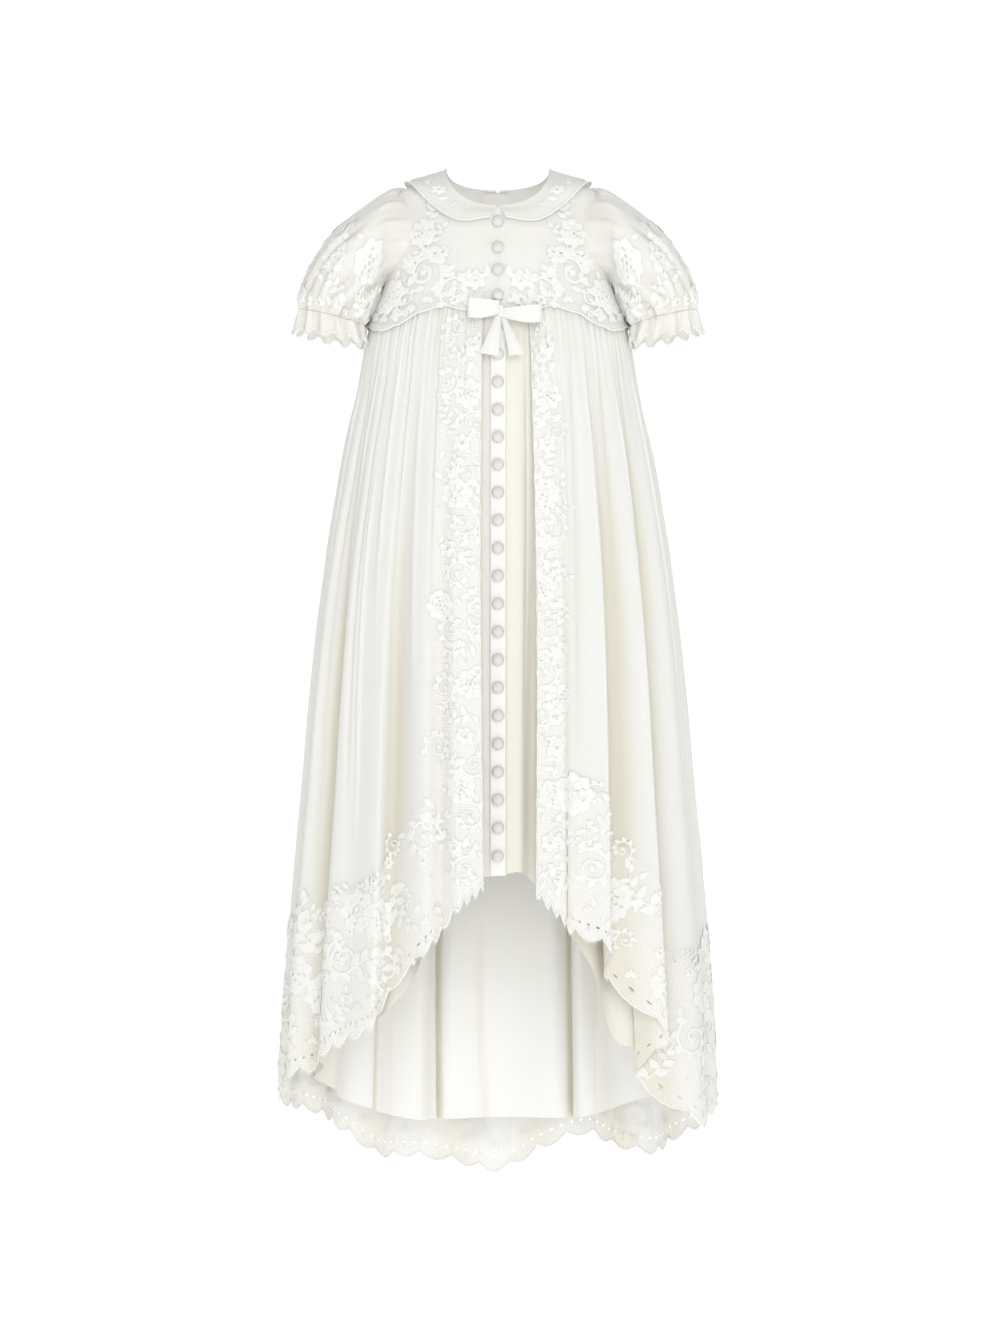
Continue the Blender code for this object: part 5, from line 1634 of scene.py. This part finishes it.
def sleeve_rows():
    """Motifs of one sleeve: a fan band above the elastic, then scrolls and flowers with leaves between."""
    rows = [("fan" if k % 2 else "daisy", FULL_TURN * (k + 0.5) / 18.0, 0.88, 0.0, 0.85) for k in range(18)]
    rows += sown(15, LARGE_MOTIFS, (1.2, 1.3, 1.1), 0.2, FULL_TURN, sleeve_place)
    rows += sown(60, ("leaf", "bud", "leaf", "daisy"), (0.8, 0.75, 0.7), 0.0, FULL_TURN, sleeve_place, 4)
    return rows


# Half of a button's section, from its rim at the back to the top of its dome
BUTTON_PROFILE = table(
    ("radius", "height"),
    (
        (0.0, 0.0),
        (3.4, 0.0),
        (5.0, 0.8),
        (5.5, 2.2),
        (5.2, 3.6),
        (4.4, 4.8),
        (3.0, 5.7),
        (1.4, 6.2),
        (0.02, 6.35),
    ),
)


def build_buttons():
    """Domed covered buttons: a profile turned about the button's own axis, tilted to the cloth behind it."""
    drops = list(YOKE_BUTTON_DROPS) + list(np.linspace(BAND_FIRST_BUTTON, BAND_LAST_BUTTON, BAND_BUTTONS))
    turn = np.linspace(0.0, FULL_TURN, 24, endpoint=False)[None, :, None]
    radius, height = (BUTTON_PROFILE[name][:, None, None] for name in ("radius", "height"))
    parts = []
    for index, drop in enumerate(drops):
        face = yoke_face if index < len(YOKE_BUTTON_DROPS) else band_front
        slope = float(face(drop - BUTTON_RADIUS) - face(drop + BUTTON_RADIUS)) / (2.0 * BUTTON_RADIUS)
        length = math.hypot(1.0, slope)
        outward = np.array((0.0, -1.0, slope)) / length
        upward = np.array((0.0, slope, 1.0)) / length
        base = np.array((0.0, float(face(drop)), -float(drop))) + outward * millimetres("button_gap")
        ring = np.cos(turn) * (1.0, 0.0, 0.0) + np.sin(turn) * upward
        points = base + radius * ring + height * outward
        parts.append((points.reshape(-1, 3), grid_faces(*points.shape[:2], ring=True)))
    points, quads = join(parts)
    names = ["button_{:02d}".format(k + 1) for k in range(len(drops))]
    make_piece("covered_buttons", points, quads, "button", replaces=names)


# A ribbon loop's middle in front of the yoke, half its depth, and how its front bulges
LOOP_MIDDLE = 2.1
LOOP_HALF_DEPTH = 1.9
LOOP_BULGE = 1.12
# Loops: side, its sign, x of the tip, height at the knot and at the tip, and drop below the bow's
LOOPS = (
    ("left", -1.0, 27.0, 12.0, 17.5, -2.0),
    ("right", 1.0, 39.0, 8.5, 15.5, 3.0),
)


def ribbon_loop(start_x, end_x, near, far, back_y, drop):
    """A soft ribbon loop: out along the front, round its end and back, pinched with folds at the knot."""
    s = np.linspace(0.0, 1.0, 61)
    out = 1.0 - np.abs(2.0 * s - 1.0)
    reach = np.sin(out * np.pi / 2.0) ** 0.8
    x = start_x + (end_x - start_x) * reach
    front = s < 0.5
    apart = LOOP_HALF_DEPTH * np.clip((1.0 - reach) * 14.0, 0.0, 1.0) ** 0.5
    y = back_y - LOOP_MIDDLE + np.where(front, -apart, apart) - LOOP_BULGE * np.sin(np.pi * out) * front
    height = near + (far - near) * np.clip(reach * 1.6, 0.0, 1.0)
    b = np.linspace(-0.5, 0.5, 15)[:, None]
    fold = 0.5 * np.cos(b * 20.0) * (1.0 - np.clip(reach * 1.8, 0.0, 1.0))
    return np.stack(np.broadcast_arrays(x, y + fold, -(drop + b * height + 0.8 * np.sin(reach * 3.0))), axis=-1)


def ribbon_tail(top_x, bottom_x, bottom_drops, top_y, bottom_y):
    """A ribbon tail between its top and bottom edges, bowed to the front on its way down."""
    down = np.linspace(0.0, 1.0, 30)[:, None]
    across = np.linspace(0.0, 1.0, 12)
    left, right = ((1.0 - down) * top + down * bottom for top, bottom in zip(top_x, bottom_x))
    left_drop, right_drop = ((1.0 - down) * TAIL_TOP_DROP + down * drop for drop in bottom_drops)
    x = left + (right - left) * across
    drop = left_drop + (right_drop - left_drop) * across
    y = top_y + (bottom_y - top_y) * down - 1.3 * np.sin(np.pi * down) - 0.9 * np.sin(np.pi * across)
    return np.stack(np.broadcast_arrays(x, y, -drop), axis=-1)


TAIL_TOP_DROP = BOW_DROP + KNOT_SIZE[2] / 2.0 - 1.0
TAIL_BOTTOM_DROP = 170.0

# Ribbon tails: side, x of the top's two corners, x of the bottom's, and the bottom's two drops
TAILS = (
    ("left", (-2.0, 2.6), (-16.0, 0.5), (171.5, 174.5)),
    ("right", (2.6, 6.2), (10.0, 23.4), (174.0, 172.5)),
)


# The knot's waist and closed ends as shares of its half width, and its creases
KNOT_WAIST = 0.18
KNOT_END = 0.55
KNOT_CREASE = 0.05
KNOT_CREASES = 6.0


def build_knot(back_y):
    """The bow's knot: an oval tube, a little waisted, creased and closed in at both ends."""
    turn = np.linspace(0.0, FULL_TURN, 28, endpoint=False)
    rise = np.linspace(-1.0, 1.0, 13)[:, None]
    waist = 1.0 - KNOT_WAIST * (1.0 - rise ** 2) - KNOT_END * np.abs(rise) ** 7
    waist = waist * (1.0 + KNOT_CREASE * np.cos(turn * KNOT_CREASES))
    x = KNOT_CENTRE_X + KNOT_SIZE[0] * 0.56 * np.cos(turn) * waist
    y = back_y - KNOT_SIZE[1] * 0.5 * (1.0 + np.sin(turn) * waist)
    points = np.stack(np.broadcast_arrays(x, y, -(BOW_DROP + 1.0) - rise * KNOT_SIZE[2] * 0.5), axis=-1)
    make_piece("ribbon_knot", points, grid_faces(*points.shape[:2], ring=True), "ribbon",
               replaces=("bow_knot",))


def build_bow():
    """The ribbon bow: two loops, two tails and the knot over them."""
    back_y = single(yoke_face, BOW_DROP) - 0.5
    knot_half = KNOT_SIZE[0] / 2.0
    for side, sign, tip, near, far, sink in LOOPS:
        start = knot_half + sign * KNOT_CENTRE_X - 1.0
        points = ribbon_loop(start, tip, near, far, back_y, BOW_DROP + sink) * (sign, 1.0, 1.0)
        cloth_piece("ribbon_loop_" + side, "bow_loop_" + side, points, "ribbon", flip=sign < 0.0)
    bottom_y = -single(lambda drop: section(SKIRT, drop)[1], TAIL_BOTTOM_DROP) - 5.0
    for side, top_x, bottom_x, bottom_drops in TAILS:
        points = ribbon_tail(top_x, bottom_x, bottom_drops, back_y - 2.0, bottom_y)
        cloth_piece("ribbon_tail_" + side, "bow_tail_" + side, points, "ribbon")
    build_knot(back_y)


# ---------------------------------------------------------------- cut of the cloth

# Each sheet's widest row and longest column in millimetres, its area in square millimetres, how it is held,
# the sheets that carry it and the pieces sewn to it. A row with asterisks stands for the right and the left.
CUT_COLUMNS = ("piece", "width", "length", "area", "held", "rests_on", "with_pieces")
CUTS = (
    ("chiffon_front_right", 350, 610, 115000, "gathered", "yoke_front_right", ""),
    ("chiffon_back", 570, 660, 300000, "gathered", "yoke_back_right yoke_back_left", ""),
    ("chiffon_front_left", 250, 575, 92000, "gathered", "yoke_front_left", ""),
    ("border_right", 70, 555, 15000, "hung", "yoke_front_right",
     "border_motifs_right border_edge_right border_edge_right_lashes"),
    ("border_left", 100, 570, 24500, "hung", "yoke_front_left",
     "border_motifs_left border_edge_left border_edge_left_lashes"),
    ("hem_band_right", 410, 160, 39000, "hung", "chiffon_front_right", "hem_motifs_right"),
    ("hem_band_back", 720, 165, 88000, "hung", "chiffon_back", "hem_motifs_back hem_edge_cord hem_lashes"),
    ("hem_band_left", 330, 156, 29000, "hung", "chiffon_front_left", "hem_motifs_left"),
    ("slip_satin_front_right", 320, 690, 118000, "gathered", "yoke_front_right", "covered_buttons"),
    ("slip_satin_back_right", 250, 745, 146000, "gathered", "yoke_back_right", ""),
    ("slip_satin_back_left", 250, 750, 146000, "gathered", "yoke_back_left", ""),
    ("slip_satin_front_left", 310, 700, 121000, "gathered", "yoke_front_left", ""),
    ("band_satin", 16, 482, 7500, "hung", "slip_satin_front_right slip_satin_front_left", ""),
    ("yoke_front_*", 160, 205, 13800, "hung", "", "yoke_motifs_* yoke_edge_cord_*"),
    ("yoke_back_*", 160, 202, 15400, "hung", "", ""),
    ("placket_strip", 25, 98, 2450, "hung", "yoke_back_right", ""),
    ("collar_cloth_*", 225, 46, 6400, "draped", "yoke_front_* yoke_back_*", "collar_motifs_* collar_edge_*"),
    ("sleeve_cloth_*", 340, 160, 34000, "gathered", "yoke_front_* yoke_back_*", "sleeve_motifs_*"),
    ("frill_*", 350, 23, 5000, "gathered", "sleeve_cloth_*", "frill_edge_* frill_lashes_*"),
    ("ribbon_loop_left", 18, 60, 1000, "folded", "yoke_front_left", "ribbon_knot"),
    ("ribbon_loop_right", 16, 73, 1050, "folded", "yoke_front_right", ""),
    ("ribbon_tail_left", 18, 39, 420, "hung", "ribbon_knot", ""),
    ("ribbon_tail_right", 15, 41, 350, "hung", "ribbon_knot", ""),
)


def cut_rows():
    """Rows of the cut by column name, those with asterisks once for each side."""
    for row in CUTS:
        for side in ("right", "left") if "*" in row[0] else ("",):
            values = (value.replace("*", side) if isinstance(value, str) else value for value in row)
            yield dict(zip(CUT_COLUMNS, values))


def declare_cuts():
    """Go through the rows of the cut, one for each sheet, and do nothing with them."""
    for cut in cut_rows():
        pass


# ---------------------------------------------------------------- stage

CAMERA_PLACE = (0.0018, -3.2, -0.4473)
FRAME_HEIGHT = 1.2006
NECK_LAMP_RADIUS = 0.03
FLOOR_HEIGHT = -1.04
SENSOR_SIZE = 36.0
CAMERA_REACH = 60.0
LIGHT_AIM = np.array((0.0, 0.0, -0.25))

# Area lights in metres: the name of its power in the panel, its place and its size
AREA_LIGHTS = (
    ("key", (0.35, -2.4, 0.9), 1.0),
    ("front", (0.2, -4.2, 0.1), 2.2),
    ("top", (0.0, -0.75, 1.3), 0.9),
)
NECK_LAMP_PLACE = (0.0, -0.01, -0.13)
FLOOR_REACH = 30.0
FLOOR_COLOUR = (0.96, 0.96, 0.96)
BACKDROP_START = 6.5
BACKDROP_BEND = 3.0
BACKDROP_TOP = 12.0


def link(scene, name, data, place=(0.0, 0.0, 0.0)):
    """Put an object with this data into the scene."""
    item = bpy.data.objects.new(name, data)
    item.location = place
    scene.collection.objects.link(item)
    return item


def add_camera(scene):
    """A level camera straight in front, whose view is one frame height tall at the gown."""
    camera = link(scene, "camera", bpy.data.cameras.new("camera"), CAMERA_PLACE)
    camera.rotation_euler = (math.pi / 2.0, 0.0, 0.0)
    camera.data.sensor_width = SENSOR_SIZE
    camera.data.lens = SENSOR_SIZE / (FRAME_HEIGHT / abs(CAMERA_PLACE[1]))
    camera.data.clip_end = CAMERA_REACH
    scene.camera = camera


def add_world(scene, settings):
    """Even light all round, which the camera itself sees as plain white."""
    world = bpy.data.worlds.new("studio")
    world.use_nodes = True
    nodes, links = world.node_tree.nodes, world.node_tree.links
    background = nodes["Background"]
    path = nodes.new("ShaderNodeLightPath")
    mix = nodes.new("ShaderNodeMix")
    mix.data_type = "FLOAT"
    links.new(path.outputs["Is Camera Ray"], mix.inputs[0])
    mix.inputs[2].default_value = settings.surround
    mix.inputs[3].default_value = 1.0
    links.new(mix.outputs[0], background.inputs["Strength"])
    background.inputs["Color"].default_value = (*settings.surround_colour, 1.0)
    scene.world = world


def add_lights(scene, settings):
    """Three soft area lights that face the gown, and a small lamp inside the yoke."""
    for name, place, width in AREA_LIGHTS:
        light = bpy.data.lights.new(name, "AREA")
        light.size = width
        light.energy = getattr(settings, name)
        aim = LIGHT_AIM - place
        tilt = math.acos(-aim[2] / np.linalg.norm(aim))
        link(scene, name, light, place).rotation_euler = (tilt, 0.0, math.atan2(aim[1], aim[0]) - math.pi / 2.0)
    neck = bpy.data.lights.new("neck", "POINT")
    neck.energy = settings.neck
    neck.shadow_soft_size = NECK_LAMP_RADIUS
    link(scene, "neck", neck, NECK_LAMP_PLACE).visible_camera = False


def add_floor(scene, settings):
    """A pale floor that bends up through a quarter round into the backdrop."""
    bend = np.linspace(0.0, np.pi / 2.0, 24)
    round_y = BACKDROP_START + BACKDROP_BEND * np.sin(bend)
    y = np.concatenate(((-FLOOR_REACH,), round_y, (BACKDROP_START + BACKDROP_BEND,)))[:, None]
    z = np.concatenate(((0.0,), BACKDROP_BEND * (1.0 - np.cos(bend)), (BACKDROP_TOP,)))[:, None] + FLOOR_HEIGHT
    points = np.stack(np.broadcast_arrays(np.array((-FLOOR_REACH, FLOOR_REACH)), y, z), axis=-1)
    mesh = bpy.data.meshes.new("floor")
    mesh.from_pydata(points.reshape(-1, 3).tolist(), [], grid_faces(*points.shape[:2]).tolist())
    shader = Shader("floor", FLOOR_COLOUR, 0.9, specular=0.0)
    shader.surface.inputs["Emission Color"].default_value = (1.0, 1.0, 1.0, 1.0)
    shader.surface.inputs["Emission Strength"].default_value = settings.backdrop
    mesh.materials.append(shader.material)
    mesh.shade_smooth()
    floor = link(scene, "floor", mesh)


def build_stage():
    """The camera, the lights and the floor."""
    scene = bpy.context.scene
    scene.view_settings.view_transform = "Standard"
    add_camera(scene)
    add_world(scene, scene.gown_stage)
    add_lights(scene, scene.gown_stage)
    add_floor(scene, scene.gown_stage)


# ---------------------------------------------------------------- panel and operators


def colour_property(name, description, default):
    """A colour that a user can change."""
    return bpy.props.FloatVectorProperty(name=name, description=description, subtype="COLOR", size=3, min=0.0,
                                         max=1.0, default=default)


def share_property(name, description, default):
    """A share from 0 to 1."""
    return bpy.props.FloatProperty(name=name, description=description, subtype="FACTOR", min=0.0, max=1.0,
                                   default=default)


def length_property(name, description, length):
    """A size that is given here in millimetres."""
    return bpy.props.FloatProperty(name=name, description=description, unit="LENGTH", min=0.0001,
                                   precision=5, default=length * MM)


def strength_property(name, description, default):
    """The strength of a glow or of the light from all round."""
    return bpy.props.FloatProperty(name=name, description=description, min=0.0, default=default)


def power_property(name, description, default):
    """The power of a light, in watts."""
    return bpy.props.FloatProperty(name=name, description=description, unit="POWER", min=0.0, default=default)


class GownSizes(bpy.types.PropertyGroup):
    """Sizes of the gown's weaves and trimmings"""

    net_cell: length_property("Net cell", "Width of a cell of the lace ground", 2.0)
    eyelet_radius: length_property("Eyelet radius", "Radius of the small eyelets along the hem", 1.1)
    hem_fringe: length_property("Hem fringe", "Mean length of the threads at the hem's edge", 2.8)
    chiffon_weave: length_property("Chiffon weave", "Spacing of the threads that show in the chiffon", 1.1)
    chiffon_crepe: length_property("Chiffon crepe", "Spacing of the chiffon's raised threads", 0.9)
    organza_weave: length_property("Organza weave", "Spacing of the organza's threads", 0.8)
    button_gap: length_property("Button gap", "Gap between a button and the cloth behind it", 0.35)


class GownCloth(bpy.types.PropertyGroup):
    """Colours of the gown's cloths, and how much the sheer ones hide"""

    chiffon: colour_property("Chiffon", "Colour of the overskirt", (0.96, 0.97, 0.955))
    satin: colour_property("Satin", "Colour of slip and band", (0.95, 0.95, 0.94))
    # The bow's satin is darker than the slip's: painted shade that keeps the strongly lit bow from plain white
    ribbon: colour_property("Ribbon", "Colour of the bow", (0.85, 0.855, 0.84))
    # The buttons' satin is a grey darker than the slip's: painted shade for the shade on their small domes
    button: colour_property("Buttons", "Colour of the covered buttons", (0.75, 0.745, 0.725))
    organza: colour_property("Organza", "Colour of yoke, sleeves and collar", (0.91, 0.905, 0.88))
    net: colour_property("Net", "Colour of the lace ground", (0.94, 0.935, 0.915))
    motif: colour_property("Lace thread", "Colour of the raised lace", (0.93, 0.935, 0.915))
    fold_shadow: colour_property("Fold shadow", "Colour of the cloth deep in a fold", (0.81, 0.78, 0.68))
    chiffon_cover: share_property("Chiffon cover", "How much the chiffon hides", 0.84)
    organza_cover: share_property("Organza cover", "How much the organza hides", 0.84)
    net_cover: share_property("Net cover", "How much the lace ground hides between its threads", 0.8)


class GownStage(bpy.types.PropertyGroup):
    """Light of the stage"""

    surround: strength_property("Surround", "Strength of the light from all round", 0.40)
    surround_colour: colour_property("Surround colour", "Colour of that light", (1.0, 0.985, 0.93))
    backdrop: strength_property("Backdrop", "Glow of the floor and backdrop", 0.5)
    key: power_property("Key", "Power of the light from above the camera, a little to the right", 11.5)
    top: power_property("Top", "Power of the light over the neck", 3.4)
    neck: power_property("Neck", "Power of the lamp in the yoke, for light that comes through the cloth", 0.085)
    front: power_property("Front", "Power of the light from the front", 34.0)


def build(*builders):
    """Run the functions that make an operator's pieces."""
    for builder in builders:
        builder()
    return {"FINISHED"}


class GOWN_OT_stage(bpy.types.Operator):
    """Add the floor, the lights and the camera"""

    bl_idname = "gown.stage"
    bl_label = "Stage"

    def execute(self, context):
        return build(build_stage)


class GOWN_OT_overskirt(bpy.types.Operator):
    """Make the three chiffon panels"""

    bl_idname = "gown.overskirt"
    bl_label = "Overskirt"

    def execute(self, context):
        return build(build_chiffon)


class GOWN_OT_skirt_lace(bpy.types.Operator):
    """Make the lace borders and hem bands with their motifs, cords and fringe"""

    bl_idname = "gown.skirt_lace"
    bl_label = "Skirt Lace"

    def execute(self, context):
        return build(build_borders, build_hem_lace, build_skirt_motifs, build_skirt_edges)


class GOWN_OT_slip(bpy.types.Operator):
    """Make the satin slip and its button band"""

    bl_idname = "gown.slip"
    bl_label = "Slip"

    def execute(self, context):
        return build(build_slip, build_band)


class GOWN_OT_yoke(bpy.types.Operator):
    """Make the yoke, its back placket and its lace"""

    bl_idname = "gown.yoke"
    bl_label = "Yoke"

    def execute(self, context):
        return build(build_yoke, build_placket, build_yoke_motifs)


class GOWN_OT_collar(bpy.types.Operator):
    """Make the round collar"""

    bl_idname = "gown.collar"
    bl_label = "Collar"

    def execute(self, context):
        return build(build_collar)


class GOWN_OT_sleeves(bpy.types.Operator):
    """Make the puff sleeves and their frills"""

    bl_idname = "gown.sleeves"
    bl_label = "Sleeves"

    def execute(self, context):
        return build(build_sleeves)


class GOWN_OT_buttons(bpy.types.Operator):
    """Make the covered buttons"""

    bl_idname = "gown.buttons"
    bl_label = "Buttons"

    def execute(self, context):
        return build(build_buttons)


class GOWN_OT_bow(bpy.types.Operator):
    """Make the ribbon bow"""

    bl_idname = "gown.bow"
    bl_label = "Bow"

    def execute(self, context):
        return build(build_bow)


class GOWN_OT_cut(bpy.types.Operator):
    """Go through the cut of each sheet of cloth, without doing anything with it"""

    bl_idname = "gown.cut"
    bl_label = "Cut"

    def execute(self, context):
        return build(declare_cuts)


OPERATORS = (
    GOWN_OT_stage,
    GOWN_OT_overskirt,
    GOWN_OT_skirt_lace,
    GOWN_OT_slip,
    GOWN_OT_yoke,
    GOWN_OT_collar,
    GOWN_OT_sleeves,
    GOWN_OT_buttons,
    GOWN_OT_bow,
    GOWN_OT_cut,
)


class GOWN_PT_pieces(bpy.types.Panel):
    """The gown's sizes, colours and pieces"""

    bl_idname = "GOWN_PT_pieces"
    bl_label = "Gown"
    bl_space_type = "VIEW_3D"
    bl_region_type = "UI"
    bl_category = "Gown"

    def draw(self, context):
        scene = context.scene
        for group in (scene.gown_sizes, scene.gown_cloth, scene.gown_stage):
            for name in group.__annotations__:
                self.layout.prop(group, name)
        for operator in OPERATORS:
            self.layout.operator(operator.bl_idname)


CLASSES = (GownSizes, GownCloth, GownStage, *OPERATORS, GOWN_PT_pieces)


def register():
    """Register the classes and put the settings on the scene."""
    for item in CLASSES:
        bpy.utils.register_class(item)
    bpy.types.Scene.gown_sizes = bpy.props.PointerProperty(type=GownSizes)
    bpy.types.Scene.gown_cloth = bpy.props.PointerProperty(type=GownCloth)
    bpy.types.Scene.gown_stage = bpy.props.PointerProperty(type=GownStage)


def unregister():
    """Take the settings and the classes away again."""
    del bpy.types.Scene.gown_stage
    del bpy.types.Scene.gown_cloth
    del bpy.types.Scene.gown_sizes
    for item in reversed(CLASSES):
        bpy.utils.unregister_class(item)


def main():
    """Make the whole gown on its stage."""
    register()
    for operator in OPERATORS:
        getattr(bpy.ops.gown, operator.bl_idname.split(".")[1])()


if __name__ == "__main__":
    main()
